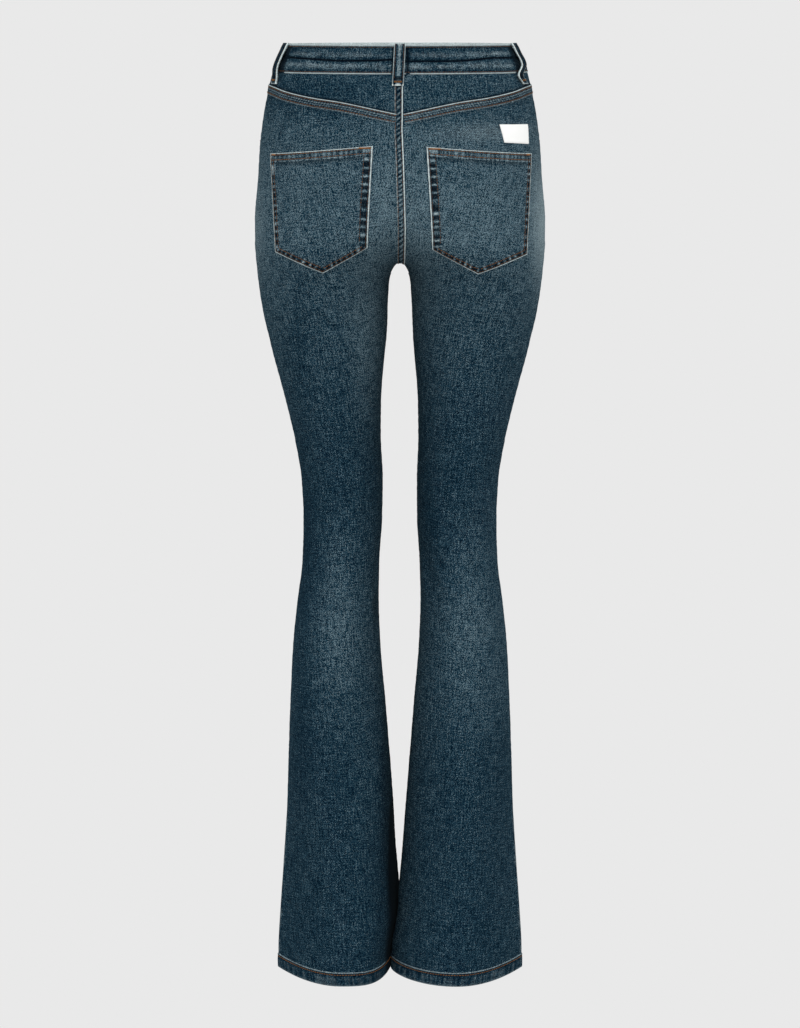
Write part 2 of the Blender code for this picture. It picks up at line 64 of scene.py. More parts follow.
# the cut is one smooth surface for every piece: height, outer and inner distance from the centre,
# side seam's and inseam's place, reach in front and behind
bodySections = [
    (0, 135, -135, 0, 0, 92, 95),
    (-33, 148, -148, 1, 1, 98, 102),
    (-65, 155, -155, 3, 3, 102, 109),
    (-110, 162, -160, 5, 5, 106, 119),
    (-160, 165.5, -142, 7, 7, 108, 125),
    (-200, 169, -96, 8, 7, 107, 124),
    (-230, 169.2, -36, 8, 6, 105, 119),
    (-246, 168.4, -8, 7, 5, 102, 114),
    (-254, 167.6, 0, 7, 4, 100, 111),
    (-263, 167, 3.6, 6, 3, 98, 108),
    (-274, 165.9, 7.2, 5, 2, 96, 105),
    (-300, 162.5, 13.6, 4, 0, 93, 99),
    (-346, 152.9, 15.9, 1, -2, 88, 92),
    (-417, 135, 21.3, -3, -4, 82, 85),
    (-465, 124, 22, -4, -5, 78, 80),
    (-513, 116.6, 20.4, -4, -5, 74, 75),
    (-561, 114.5, 20.9, -4, -5, 71, 71),
    (-610, 115.9, 23.9, -2, -4, 69, 72),
    (-659, 122.1, 24.5, 1, -2, 68, 74),
    (-708, 127.2, 22.8, 2, 0, 69, 76),
    (-781, 131.2, 16.9, 3, 1, 71, 77),
    (-856, 134.1, 10.9, 3, 2, 73, 76),
    (-905, 135.8, 6.5, 3, 2, 74, 76),
    (-980, 140.9, 0.5, 2, 2, 75, 76),
    (-1040, 145.4, -5, 1, 3, 75, 76),
    (-1090, 148.2, -10.5, 0, 4, 75, 76),
    (-1115, 148.4, -10.8, 0, 4, 75, 76),
]
sectionColumns = {"outer": 1, "inner": 2, "sideY": 3, "seamY": 4, "front": 5, "back": 6}

# inseam: height, how far it is drawn back, how far it is turned forward
legs = {
    "left": {"side": 1, "square": 0.62, "full": 0.9, "inseam": [
        (-256, 0, 0), (-274, 1.3, 0), (-300, 0.9, 0), (-325, 0.2, 0), (-372, 1.3, 0), (-450, 1.2, 0),
        (-510, 0.3, 0), (-560, 0.7, 0), (-660, 1.2, 0), (-856, 1, 0), (-905, 2.2, -12), (-980, 4.4, -40),
        (-1010, 4.6, -49), (-1040, 5, -56), (-1090, 16.8, -60), (-1115, 18.2, -60),
    ]},
    "right": {"side": -1, "square": 1, "full": 1.35, "inseam": [
        (-256, 0, 0), (-274, 0.6, 0), (-325, 0, 0), (-510, 0, 0), (-600, -0.4, 0), (-660, 0.3, 0),
        (-856, 0.3, 0), (-905, 0.9, 0), (-980, 1.1, 0), (-1010, 1, 0), (-1045, 2.6, 0), (-1090, 0.2, 0),
        (-1115, 0, 0),
    ]},
}

shape = {
    "crotch": -254, "hem": -1115, "hemFold": 17, "cloth": 1.4, "halfGap": 0.15,
    "turnPower": 6, "crease": 2, "pressed": (-760, -1040),
    "even": (-130, -330), "evenPower": 5,
    "saddle": 9, "saddleReach": 30, "saddleFade": (-262, -300), "saddleStart": (-110, -190),
    "band": 33,
}

# by leg and front (True) or back: share of the way from the side seam to the centre, height, half width,
# half length, slant, lift. The first two of each are the solids' own folds, the rest are smaller creases.
folds = {
    ("left", False): [
        (0.88, -640, 9, 48, 0.1, -1.8), (0.55, -318, 46, 14, 0, -1.6), (0.8, -655, 6, 26, -0.45, 0.9),
        (0.74, -622, 7, 20, 0.9, -0.7), (0.78, -286, 5, 20, 0.9, -0.8), (0.5, -545, 40, 7, 0.15, -0.6),
        (0.35, -860, 12, 120, 0.04, 0.9), (0.66, -930, 14, 110, -0.05, -0.9),
    ],
    ("right", False): [
        (0.8, -612, 16, 30, 0.55, -2.2), (0.55, -320, 46, 14, 0, -1.6), (0.86, -630, 7, 34, 0.35, 1.2),
        (0.7, -600, 6, 26, 0.95, -0.9), (0.62, -628, 7, 22, 0.7, 0.7), (0.8, -282, 5, 20, -0.9, -0.9),
        (0.7, -290, 6, 24, -0.8, 0.8), (0.45, -560, 38, 7, -0.15, -0.6), (0.4, -900, 13, 120, -0.03, 0.9),
        (0.66, -960, 12, 90, 0.06, -0.8),
    ],
    ("left", True): [
        (0.55, -545, 50, 16, -0.1, -1.8), (0.7, -300, 14, 45, -0.6, -1.6), (0.8, -250, 6, 30, -0.9, 0.9),
        (0.4, -520, 34, 8, 0.2, 0.8), (0.45, -900, 14, 120, 0.05, 0.9),
    ],
    ("right", True): [
        (0.5, -552, 48, 16, 0.1, -1.8), (0.72, -296, 14, 45, 0.6, -1.5), (0.82, -252, 6, 28, 0.9, 0.9),
        (0.45, -575, 34, 8, -0.2, 0.8), (0.4, -930, 14, 110, -0.05, -0.9),
    ],
}


def smoothCurve(xs, ys, x):
    # a curve through the points (xs rising) that never runs past them
    xs, ys, x = (np.asarray(v, float) for v in (xs, ys, x))
    step = np.diff(xs)
    slope = np.diff(ys) / step
    tangent = np.zeros_like(xs)
    same = slope[:-1] * slope[1:] > 0
    wide, near = 2 * step[1:] + step[:-1], step[1:] + 2 * step[:-1]
    inside = np.zeros(len(xs) - 2)
    bend = wide / np.where(same, slope[:-1], 1) + near / np.where(same, slope[1:], 1)
    inside[same] = ((wide + near) / bend)[same]
    tangent[1:-1] = inside
    tangent[0], tangent[-1] = slope[0], slope[-1]
    i = np.clip(np.searchsorted(xs, x, side="right") - 1, 0, len(step) - 1)
    t = np.clip((x - xs[i]) / step[i], 0, 1)
    return (ys[i] * (1 + 2 * t) * (1 - t) ** 2 + ys[i + 1] * t * t * (3 - 2 * t)
            + step[i] * (tangent[i] * t * (1 - t) ** 2 - tangent[i + 1] * t * t * (1 - t)))


def ease(start, end, x):
    t = np.clip((np.asarray(x, float) - start) / (end - start), 0, 1)
    return t * t * (3 - 2 * t)


def tableRows(table):
    # a table's columns, its rows turned so that the heights rise
    return np.array(table[::-1], float).T


def sectionAt(name, z):
    columns = tableRows(bodySections)
    return smoothCurve(columns[0], columns[sectionColumns[name]], z)


def bothArrays(share, z):
    return np.broadcast_arrays(np.asarray(share, float), np.asarray(z, float))


def bareSurface(legName, share, z, forward):
    # share is 0 at the side seam and 1 at the centre seam or, below the crotch, at the inseam
    leg = legs[legName]
    share, z = bothArrays(share, z)
    outer, inner = sectionAt("outer", z), sectionAt("inner", z)
    half, middle = (outer - inner) / 2, (outer + inner) / 2
    end = np.where(z > shape["crotch"], np.arccos(np.clip(-middle / half, -1, 1)), math.pi)
    even = math.pi / 2 * (1 + ease(*shape["even"], z))
    angle = share * even + (end - even) * share ** shape["evenPower"]
    c, s = np.cos(angle), np.abs(np.sin(angle))
    pressed, inside = ease(*shape["pressed"], z), c < 0
    square = 1 + (leg["square"] - 1) * pressed
    full = 1 + (np.where(inside, leg["full"], shape["crease"]) - 1) * pressed
    heights, drawn, turned = tableRows(leg["inseam"])
    innerHalf = half - smoothCurve(heights, drawn, z)
    away = middle + np.where(inside, -innerHalf * np.abs(c) ** square, half * c)
    saddle = ease(*shape["saddleStart"], z) * ease(*shape["saddleFade"][::-1], z)
    near = np.maximum(away, 0)
    rounded = np.sqrt(near ** 2 + 2 * shape["saddle"] * saddle * near * np.exp(-near / shape["saddleReach"]))
    away = np.where(saddle > 0, rounded, away)
    inward = (1 - c) / 2
    line = sectionAt("sideY", z) * (1 - inward) + sectionAt("seamY", z) * inward
    line = line + smoothCurve(heights, turned, z) * inward ** shape["turnPower"]
    reach = -sectionAt("front", z) if forward else sectionAt("back", z)
    return np.stack([leg["side"] * away, line + reach * s ** full, z], axis=-1)


def surfaceNormal(legName, share, z, forward):
    share, z = bothArrays(share, z)
    d = 1e-4
    low, high = np.clip(share - d, 0, 1), np.clip(share + d, 0, 1)
    across = bareSurface(legName, high, z, forward) - bareSurface(legName, low, z, forward)
    along = bareSurface(legName, share, z + 0.5, forward) - bareSurface(legName, share, z - 0.5, forward)
    n = np.cross(across, along) * legs[legName]["side"] * (-1 if forward else 1)
    seam = (share <= 0) | ((share >= 1) & (z <= shape["crotch"]))
    seat = (share >= 1) & (z > shape["crotch"])
    n[..., 1] = np.where(seam, 0, n[..., 1])
    n[..., 0] = np.where(seat, 0, n[..., 0])
    return n / np.linalg.norm(n, axis=-1, keepdims=True)


def latticeNoise(x, y, seed):
    # smooth random values between -1 and 1, one per unit square
    table = np.random.default_rng(seed).uniform(-1, 1, (64, 64))
    x, y = bothArrays(x, y)
    xi, yi = np.floor(x).astype(int), np.floor(y).astype(int)
    fx, fy = x - xi, y - yi
    fx, fy = fx * fx * (3 - 2 * fx), fy * fy * (3 - 2 * fy)
    corner = lambda i, j: table[(xi + i) % 64, (yi + j) % 64]
    low = corner(0, 0) * (1 - fx) + corner(1, 0) * fx
    high = corner(0, 1) * (1 - fx) + corner(1, 1) * fx
    return low * (1 - fy) + high * fy


def foldLift(legName, share, z, forward):
    points = bareSurface(legName, share, z, forward)
    share, z = bothArrays(share, z)
    total = np.zeros(z.shape)
    for foldShare, foldZ, width, length, slant, lift in folds[legName, forward]:
        here = bareSurface(legName, foldShare, foldZ, forward)
        girth = np.hypot(points[..., 0] - here[0], points[..., 1] - here[1]) * np.sign(share - foldShare)
        girth = girth - slant * (z - foldZ)
        total += lift * np.exp(-((girth / width) ** 2) - ((z - foldZ) / length) ** 2)
    return total


def clothPoint(legName, share, z, forward, out):
    lift = out + foldLift(legName, share, z, forward)
    points = bareSurface(legName, share, z, forward)
    points = points + surfaceNormal(legName, share, z, forward) * np.asarray(lift)[..., None]
    points[..., 0] += legs[legName]["side"] * shape["halfGap"]
    points[..., 1] += (-1 if forward else 1) * shape["halfGap"]
    return points


# the cloth's own coordinates: distance round the leg from the panel's grain line, and height
grain = {"z": np.linspace(5, -1125, 160), "share": np.linspace(0, 1, 81), "line": 40,
         "pieceShift": 700, "frontShift": 1400}


def grainTable(legName, forward):
    grid = bareSurface(legName, grain["share"][None, :], grain["z"][:, None], forward)
    steps = np.linalg.norm(np.diff(grid, axis=1), axis=-1)
    run = np.concatenate([np.zeros((len(grid), 1)), np.cumsum(steps, axis=1)], axis=1)
    return run - run[:, grain["line"]][:, None]


legFaces = [(legName, forward) for legName in legs for forward in (False, True)]
grainTables = {face: grainTable(*face) for face in legFaces}


def clothUv(legName, share, z, forward):
    table = grainTables[legName, forward]
    share, z = bothArrays(share, z)
    top, following = grain["z"][:2]
    r = np.clip((top - z) / (top - following), 0, len(table) - 1.001)
    c = np.clip(share * 80, 0, 79.999)
    ri, ci = r.astype(int), c.astype(int)
    fr, fc = r - ri, c - ci
    run = ((table[ri, ci] * (1 - fc) + table[ri, ci + 1] * fc) * (1 - fr)
           + (table[ri + 1, ci] * (1 - fc) + table[ri + 1, ci + 1] * fc) * fr)
    shift = (0 if legName == "left" else grain["pieceShift"]) + (grain["frontShift"] if forward else 0)
    return np.stack([(run + shift) * mm, z * mm], axis=-1)


# how the indigo has faded: height and depth of colour, 0 dark and 1 pale, the same all round
fadeByHeight = [
    (0, 0.36), (-40, 0.3), (-75, 0.34), (-95, 0.42), (-150, 0.49), (-220, 0.51), (-270, 0.37),
    (-330, 0.32), (-400, 0.26), (-470, 0.2), (-540, 0.18), (-600, 0.22), (-680, 0.31), (-760, 0.27),
    (-860, 0.2), (-1125, 0.18),
]
# by leg and front (True) or back: place across (distance from the centre plane), height, half width,
# half height, how much paler
# the back spots at 168 paint highlight along the hips' edges, the left one at 6 paints shade between the lower
# legs, and those at 118 on the left and 24 on the right darken the legs towards their edges
fadeAndLightSpots = {
    ("left", False): [
        (16, -195, 22, 62, 0.2), (88, -190, 38, 46, -0.07), (168, -210, 12, 60, 0.14),
        (36, -330, 20, 80, 0.24), (116, -320, 9, 60, -0.09), (72, -655, 22, 95, 0.17),
        (118, -660, 17, 230, -0.17), (100, -58, 70, 22, -0.17), (90, -100, 70, 16, -0.05),
        (6, -940, 20, 190, -0.1),
    ],
    ("right", False): [
        (18, -195, 22, 62, 0.2), (88, -190, 38, 46, 0.1), (168, -205, 13, 62, 1),
        (90, -104, 60, 18, 0.1), (22, -300, 12, 40, 0.1), (24, -420, 14, 170, -0.05),
        (84, -660, 28, 100, 0.15), (36, -640, 16, 100, -0.03),
    ],
    ("left", True): [
        (90, -330, 42, 130, 0.34), (68, -560, 30, 60, 0.22),
    ],
    ("right", True): [
        (90, -330, 42, 130, 0.34), (68, -560, 30, 60, 0.22),
    ],
}
# the same, and how far the cloth is rubbed white; the spots at 170 are painted highlight along the hips' edges
rubAndHighlightSpots = {
    ("right", False): [
        (170, -200, 15, 64, 0.15), (100, -98, 50, 9, 0.05),
    ],
    ("left", False): [
        (170, -215, 9, 60, 0.05),
    ],
}
# the left leg's inner side, turned away below the knee: height, how far from the centre it is shaded
# and how far it is quite dark
innerShade = [
    (-740, 17, 0), (-768, 19, 0), (-843, 23.5, 0), (-870, 23, 4), (-911, 22.3, 12.3), (-981, 20, 14.7),
    (-1028, 18, 14.7), (-1052, 18, 17), (-1115, 19, 18),
]
# where the lower legs' shades begin and are full, how deep they are and how soft their edges are
legShade = {
    "right": (-660, -800), "rightEdge": (0.9, 0.97), "rightDepth": 0.38,
    "rightFade": (-960, -1080), "rightFading": 0.6,
    "soft": (-735, -800), "softEdge": 3.5, "softDepth": 0.3,
    "dark": (-862, -915), "darkEdge": 2.2, "darkDepth": 0.68,
    # the small hollow beside the knee's fold, and how it swings out and back on its way down
    "hollow": (-636, -648), "hollowEnd": (-672, -694), "hollowEdge": 1.5, "hollowDepth": 0.34,
    "hollowAway": 32.2, "hollowInset": 5.5, "swing": (6, -640, -660), "swingBack": (2, -665, -690),
    "leftEdge": (0.7, 0.8),
}
# slow clouds in the wash: strength, width, height, seed
clouds = (0.03, 35, 70, 5)


def shadeAt(legName, share, z, forward):
    # shade where the lower legs lie against each other, as negative wear
    share, z = bothArrays(share, z)
    if legName == "right":
        fading = 1 - legShade["rightFading"] * ease(*legShade["rightFade"], z)
        depth = -legShade["rightDepth"] * ease(*legShade["right"], z) * fading
        return depth * ease(*legShade["rightEdge"], share)
    away = np.abs(bareSurface(legName, share, z, forward)[..., 0])
    heights, *reaches = tableRows(innerShade)
    value = 0 * z
    for kind, reach in zip(("soft", "dark"), reaches):
        edge = legShade[kind + "Edge"]
        within = 1 - ease(-edge, edge, away - np.interp(z, heights, reach))
        value = value - legShade[kind + "Depth"] * ease(*legShade[kind], z) * within
    (out, *outZ), (back, *backZ) = legShade["swing"], legShade["swingBack"]
    line = legShade["hollowAway"] + out * ease(*outZ, z) - back * ease(*backZ, z)
    edge = legShade["hollowEdge"]
    hollow = ease(*legShade["hollow"], z) * (1 - ease(*legShade["hollowEnd"], z))
    within = 1 - ease(-edge, edge, away - line + legShade["hollowInset"])
    value = value - legShade["hollowDepth"] * hollow * within
    return value * ease(*legShade["leftEdge"], share)


def addSpots(value, table, legName, points, forward):
    for place, height, width, length, more in table.get((legName, forward), []):
        away, up = np.abs(points[..., 0]) - place, points[..., 2] - height
        value = value + more * np.exp(-(away / width) ** 2 - (up / length) ** 2)
    return value


# the indigo's fade by height and in spots, with the spots' painted highlight and painted shade
def fadeAndLightAt(legName, share, z, forward):
    points = bareSurface(legName, share, z, forward)
    value = addSpots(np.interp(points[..., 2], *tableRows(fadeByHeight)), fadeAndLightSpots, legName, points, forward)
    strength, wide, high, seed = clouds
    return value + strength * latticeNoise(points[..., 0] / wide, points[..., 2] / high, seed)


# rubbed wear, the painted highlight along the hips' edges and the painted shade between the lower legs
def rubLightAndShadeAt(legName, share, z, forward):
    points = bareSurface(legName, share, z, forward)
    rubAndHighlight = addSpots(0 * points[..., 2], rubAndHighlightSpots, legName, points, forward)
    return rubAndHighlight + shadeAt(legName, share, z, forward)


def makeMesh(name, points, faces, material, uv=None, fields=None):
    mesh = bpy.data.meshes.new(name)
    mesh.from_pydata((np.asarray(points).reshape(-1, 3) * mm).tolist(), [], faces)
    if uv is not None:
        corners = np.zeros(len(mesh.loops), int)
        mesh.loops.foreach_get("vertex_index", corners)
        layer = mesh.uv_layers.new(name="cloth")
        layer.data.foreach_set("uv", np.asarray(uv, float).reshape(-1, 2)[corners].ravel())
    for field, values in (fields or {}).items():
        attribute = mesh.attributes.new(field, "FLOAT", "POINT")
        attribute.data.foreach_set("value", np.asarray(values, float).ravel())
    mesh.materials.append(material)
    mesh.shade_smooth()
    made = bpy.data.objects.new(name, mesh)
    bpy.context.scene.collection.objects.link(made)
    return made


def turnFaces(faces):
    return [face[::-1] for face in faces]


def gridFaces(rows, columns, start=0):
    index = np.arange(rows * columns).reshape(rows, columns) + start
    a, b = index[:-1], index[1:]
    return np.stack([a[:, :-1], a[:, 1:], b[:, 1:], b[:, :-1]], axis=-1).reshape(-1, 4).tolist()


def turnedOut(faces, points, outward):
    # the faces of a grid, turned where they look inward
    r, c = points.shape[0] // 2, points.shape[1] // 2
    u, v = points[r, c + 1] - points[r, c], points[r + 1, c] - points[r, c]
    return turnFaces(faces) if np.dot(np.cross(u, v), outward[r, c]) < 0 else faces


def wallObject(name, outside, inside, uv, fields, material, insideFields={}):
    # a closed wall of cloth between two grids of points
    rows, columns = outside.shape[:2]
    count = rows * columns
    faces = gridFaces(rows, columns) + turnFaces(gridFaces(rows, columns, count))
    index = np.arange(count).reshape(rows, columns)
    rim = [*index[0], *index[1:, -1], *index[-1, -2::-1], *index[-2:0:-1, 0]]
    faces += [[int(b), int(a), int(a) + count, int(b) + count] for a, b in zip(rim, rim[1:] + rim[:1])]
    faces = turnedOut(faces, outside, outside - inside)
    points = np.concatenate([outside.reshape(-1, 3), inside.reshape(-1, 3)])
    both = {}
    for field, values in fields.items():
        values = np.broadcast_to(values, (rows, columns)).reshape(-1)
        both[field] = np.concatenate([values, np.broadcast_to(insideFields.get(field, values), values.shape)])
    uv = np.concatenate([uv.reshape(-1, 2), uv.reshape(-1, 2)])
    return makeMesh(name, points, faces, material, uv, both)


def shellObject(name, points, uv, fields, outward):
    # one layer of denim that lies on the cloth with its edges sunk into it
    faces = turnedOut(gridFaces(*points.shape[:2]), points, outward)
    fields = {field: np.broadcast_to(values, points.shape[:2]) for field, values in fields.items()}
    return makeMesh(name, points, faces, denimCloth, uv, fields)


def setInput(tree, socket, value):
    # a socket takes another node's output or a value
    if hasattr(value, "is_linked"):
        tree.links.new(value, socket)
    else:
        socket.default_value = value


def addNode(tree, kind, inputs, **settings):
    node = tree.nodes.new("ShaderNode" + kind)
    for name, value in settings.items():
        setattr(node, name, value)
    for key, value in inputs.items():
        setInput(tree, node.inputs[key], value)
    return node


def newMaterial(name, **values):
    # a material whose shader takes the values by its inputs' names, a space written as _
    made = bpy.data.materials.new(name)
    made.use_nodes = True
    shader = made.node_tree.nodes["Principled BSDF"]
    for key, value in values.items():
        shader.inputs[key.replace("_", " ")].default_value = value
    return made, made.node_tree, shader


def fieldNode(tree, name):
    # one of the values that makeMesh stores at the vertices
    return addNode(tree, "Attribute", {}, attribute_name=name).outputs["Fac"]


def mathNode(tree, kind, *values, clamp=False):
    return addNode(tree, "Math", dict(enumerate(values)), operation=kind, use_clamp=clamp).outputs[0]


def mixColour(tree, factor, first, second):
    first, second = ((*value, 1) if isinstance(value, tuple) else value for value in (first, second))
    inputs = {0: factor, 6: first, 7: second}
    return addNode(tree, "Mix", inputs, data_type="RGBA", clamp_factor=True).outputs[2]


def stretchedNoise(tree, coordinate, scale, detail, roughness=0.5):
    mapping = addNode(tree, "Mapping", {"Scale": scale, "Vector": coordinate})
    inputs = {"Vector": mapping.outputs[0], "Scale": 1, "Detail": detail, "Roughness": roughness}
    return addNode(tree, "TexNoise", inputs).outputs["Fac"]


def cellColour(tree, coordinate, scale, shift):
    # one random value for each small cell, looked up a little to the side
    mapping = addNode(tree, "Mapping", {"Location": (*shift, 0), "Vector": coordinate})
    inputs = {"Scale": scale, "Vector": mapping.outputs[0]}
    return addNode(tree, "TexVoronoi", inputs, voronoi_dimensions="2D").outputs["Color"]


def finishShader(tree, shader, colour, height, strength, distance):
    bump = addNode(tree, "Bump", {"Strength": strength, "Distance": distance, "Height": height})
    setInput(tree, shader.inputs["Base Color"], colour)
    setInput(tree, shader.inputs["Normal"], bump.outputs["Normal"])


denim = {
    # depth of colour, from the deepest indigo to the palest
    "ramp": [(0, (0.0009, 0.006, 0.013)), (0.2, (0.0038, 0.0178, 0.0325)), (0.4, (0.0108, 0.0342, 0.0545)),
             (0.6, (0.027, 0.061, 0.085)), (0.8, (0.056, 0.1, 0.127)), (1, (0.125, 0.182, 0.21))],
    # the pale colour of rubbed yarn, also used as painted highlight, and the near black used as painted shade
    "worn": (0.56, 0.64, 0.64), "deep": (0.0015, 0.0035, 0.0065),
    "speckle": 2.8, "warp": 1.15, "weft": 1, "mottle": 0.05, "twill": 0.1,
    "roughness": 0.95, "sheen": 0.015, "glare": 0, "bump": 0.35,
}


def denimMaterial():
    made, tree, shader = newMaterial(
        "washedDenim", Roughness=denim["roughness"], Sheen_Weight=denim["sheen"], Sheen_Roughness=0.5,
        Sheen_Tint=(0.55, 0.75, 0.8, 1), Specular_IOR_Level=denim["glare"])
    uv = addNode(tree, "UVMap", {}, uv_map="cloth").outputs["UV"]
    fade, wear = fieldNode(tree, "fade"), fieldNode(tree, "wear")
    less = lambda value, k=0.5: mathNode(tree, "SUBTRACT", value, k)
    times = lambda value, k: mathNode(tree, "MULTIPLY", value, k)
    plus = lambda first, second: mathNode(tree, "ADD", first, second)

    def turned(angle):
        return addNode(tree, "Mapping", {"Rotation": (0, 0, math.radians(angle)), "Vector": uv}).outputs[0]

    def yarns(angles, scales):
        # two layers of long uneven streaks
        layers = [stretchedNoise(tree, turned(angle), scale, 0) for angle, scale in zip(angles, scales)]
        return less(plus(*layers), 1)

    # uneven yarns down and across the cloth, a little off square, and the speckle where they cross
    warp, weft = yarns((3, -5), ((980, 90, 1), (760, 44, 1))), yarns((6, -8), ((90, 980, 1), (50, 780, 1)))
    # a pale crossing leaves the ones beside and above it darker, which keeps the grain crisp
    crossings = [cellColour(tree, uv, 1500, shift) for shift in ((0, 0), (0.0012, 0), (0, 0.0012))]
    around = times(plus(less(crossings[1]), less(crossings[2])), -0.25)
    speckle = plus(less(crossings[0]), around)
    mottle = stretchedNoise(tree, uv, (60, 42, 1), 3, 0.65)
    twillShape = {"Scale": 240, "Distortion": 1.2, "Detail": 1, "Detail Scale": 0.6, "Vector": turned(28)}
    twill = addNode(tree, "TexWave", twillShape, bands_direction="Y").outputs["Fac"]
    fine = plus(times(speckle, denim["speckle"]), times(less(twill), denim["twill"]))
    texture = plus(plus(times(warp, denim["warp"]), times(weft, denim["weft"])), fine)
    texture = times(texture, mathNode(tree, "MULTIPLY_ADD", fade, 0.5, 0.42))
    value = plus(plus(fade, texture), times(less(mottle), denim["mottle"]))
    ramp = addNode(tree, "ValToRGB", {"Fac": value})
    stops = ramp.color_ramp.elements
    while len(stops) < len(denim["ramp"]):
        stops.new(0.5)
    for stop, (place, colour) in zip(stops, denim["ramp"]):
        stop.position, stop.color = place, (*colour, 1)
    # rubbed ridges show the yarns' white cores, and the same pale colour paints the highlight along the hips'
    # edges; negative values mix in a near black, painted shade in creases, grooves, beside ridges and between
    # the legs
    uneven = mathNode(tree, "MULTIPLY_ADD", texture, 0.4, 1)
    rubAndHighlight = mathNode(tree, "MULTIPLY", uneven, wear, clamp=True)
    base = mixColour(tree, rubAndHighlight, ramp.outputs["Color"], denim["worn"])
    # painted shade: negative values darken towards the near black
    hollow = mathNode(tree, "MULTIPLY", wear, -1, clamp=True)
    base = mixColour(tree, hollow, base, denim["deep"])
    finishShader(tree, shader, base, plus(texture, times(twill, 0.4)), denim["bump"], 0.0003)
    return made


def grainOf(tree, scale, detail, roughness=0.5):
    coordinate = addNode(tree, "TexCoord", {}).outputs["Object"]
    return stretchedNoise(tree, coordinate, (scale, scale, scale), detail, roughness)


def threadMaterial():
    made, tree, shader = newMaterial("topstitch", Roughness=0.6, Specular_IOR_Level=0.1)
    fuzz = grainOf(tree, 2200, 1)
    colour = mixColour(tree, fieldNode(tree, "tone"), (0.02, 0.011, 0.008), (0.32, 0.13, 0.033))
    colour = mixColour(tree, mathNode(tree, "MULTIPLY", fuzz, 0.12), colour, (0.36, 0.18, 0.07))
    finishShader(tree, shader, colour, fuzz, 0.5, 0.0001)
    return made


def labelMaterial():
    made, tree, shader = newMaterial("satinLabel", Roughness=0.55, Sheen_Weight=0.1)
    weave, cloud = grainOf(tree, 1400, 2), grainOf(tree, 60, 2)
    colour = mixColour(tree, weave, (0.78, 0.79, 0.78), (0.88, 0.88, 0.86))
    colour = mixColour(tree, mathNode(tree, "MULTIPLY", cloud, 0.25), colour, (0.74, 0.75, 0.73))
    finishShader(tree, shader, colour, weave, 0.3, 0.0001)
    return made


def brassMaterial():
    made, tree, shader = newMaterial("agedBrass", Metallic=1)
    tarnish = grainOf(tree, 420, 4, 0.65)
    colour = mixColour(tree, tarnish, (0.24, 0.13, 0.06), (0.66, 0.44, 0.22))
    setInput(tree, shader.inputs["Roughness"], mathNode(tree, "MULTIPLY_ADD", tarnish, -0.3, 0.55))
    finishShader(tree, shader, colour, tarnish, 0.25, 0.0001)
    return made


denimCloth = denimMaterial()
thread = threadMaterial()
labelCloth = labelMaterial()
agedBrass = brassMaterial()
print("materials ready")


panel = {"columns": 60, "gather": 0.1, "rowStep": 4, "crotchStep": 1.2, "crotch": (-276, -246),
         "frontTop": -33.3, "hemLap": 3, "reverse": {"fade": 0.75, "wear": 0.03},
         # how far up the row lines bend towards the yoke's seam
         "blend": -150, "yokeRows": 16, "yokeLap": 1.5,
         # slow waves: width, height and share of the depth, calm at the side edges and at the top
         "undulation": 0.35, "waves": [(42, 90, 1), (17, 34, 0.5)], "seeds": (11, 7), "calm": (0.08, -25)}
facing = {"columns": 24, "rows": 40, "reach": (-31.5, -128), "past": 0.07, "widest": 0.53, "depth": (2.6, 4),
          "girth": 150, "shade": 0.75, "shadeReach": 5, "shadeLimits": (-3, 99)}
pocketMouth = {"share": 0.46, "foot": -110, "power": 2.4}
fly = {"reach": 5.5, "reachFade": (-172, -150), "reachShare": (0.86, 1),
       "raise": 2, "raiseFade": (-216, -196), "raiseShare": (0.84, 0.93)}
yokeSeamPoints = [(0, -46.5), (0.2, -49), (0.36, -54), (0.57, -60.5), (0.7, -64), (1, -78)]
clothPieces, seamPieces, stitchRuns = {}, {}, {}


def panelHeights(top):
    # rows close together where the cloth arches between the legs
    z, rows, low = top, [], shape["hem"] + panel["hemLap"]
    while z > low:
        rows.append(z)
        z -= panel["crotchStep"] if panel["crotch"][0] < z < panel["crotch"][1] else panel["rowStep"]
    return np.array(rows + [low], float)


def undulation(legName, share, z, forward):
    x, y = np.moveaxis(clothUv(legName, share, z, forward) / mm, -1, 0)
    first, step = panel["seeds"]
    seed = first + (legName == "left") + 2 * forward
    soft = sum(part * latticeNoise(x / wide, y / high, seed + step * k)
               for k, (wide, high, part) in enumerate(panel["waves"]))
    edge, top = panel["calm"]
    return panel["undulation"] * soft * ease(0, edge, np.minimum(share, 1 - share)) * ease(0, top, z)


def panelObject(name, legName, share, z, forward, shift=0):
    spot = (legName, share, z, forward)
    lift = undulation(*spot)
    outside, inside = clothPoint(*spot, lift) + shift, clothPoint(*spot, lift - shape["cloth"]) + shift
    # the cloth's reverse is pale and plain
    back = {field: np.full(z.size, value) for field, value in panel["reverse"].items()}
    fields = {"fade": fadeAndLightAt(*spot), "wear": rubLightAndShadeAt(*spot)}
    return wallObject(name, outside, inside, clothUv(*spot), fields, denimCloth, back)


def yokeSeam(share):
    return smoothCurve(*np.array(yokeSeamPoints).T, share)


def mouthShare(z):
    # the front pocket's scooped edge
    t = np.clip((z + shape["band"]) / (pocketMouth["foot"] + shape["band"]), 0, 1)
    return pocketMouth["share"] * np.sqrt(1 - t ** pocketMouth["power"])


def flyShift(legName, share, z):
    # the left front laps over the right one
    raised = ease(*fly["raiseFade"], z) * ease(*fly["raiseShare"], share)
    shift = surfaceNormal(legName, share, z, True) * (fly["raise"] * raised)[..., None]
    reached = legs[legName]["side"] * fly["reach"] * ease(*fly["reachFade"], z)
    shift[..., 0] -= reached * ease(*fly["reachShare"], share)
    return shift


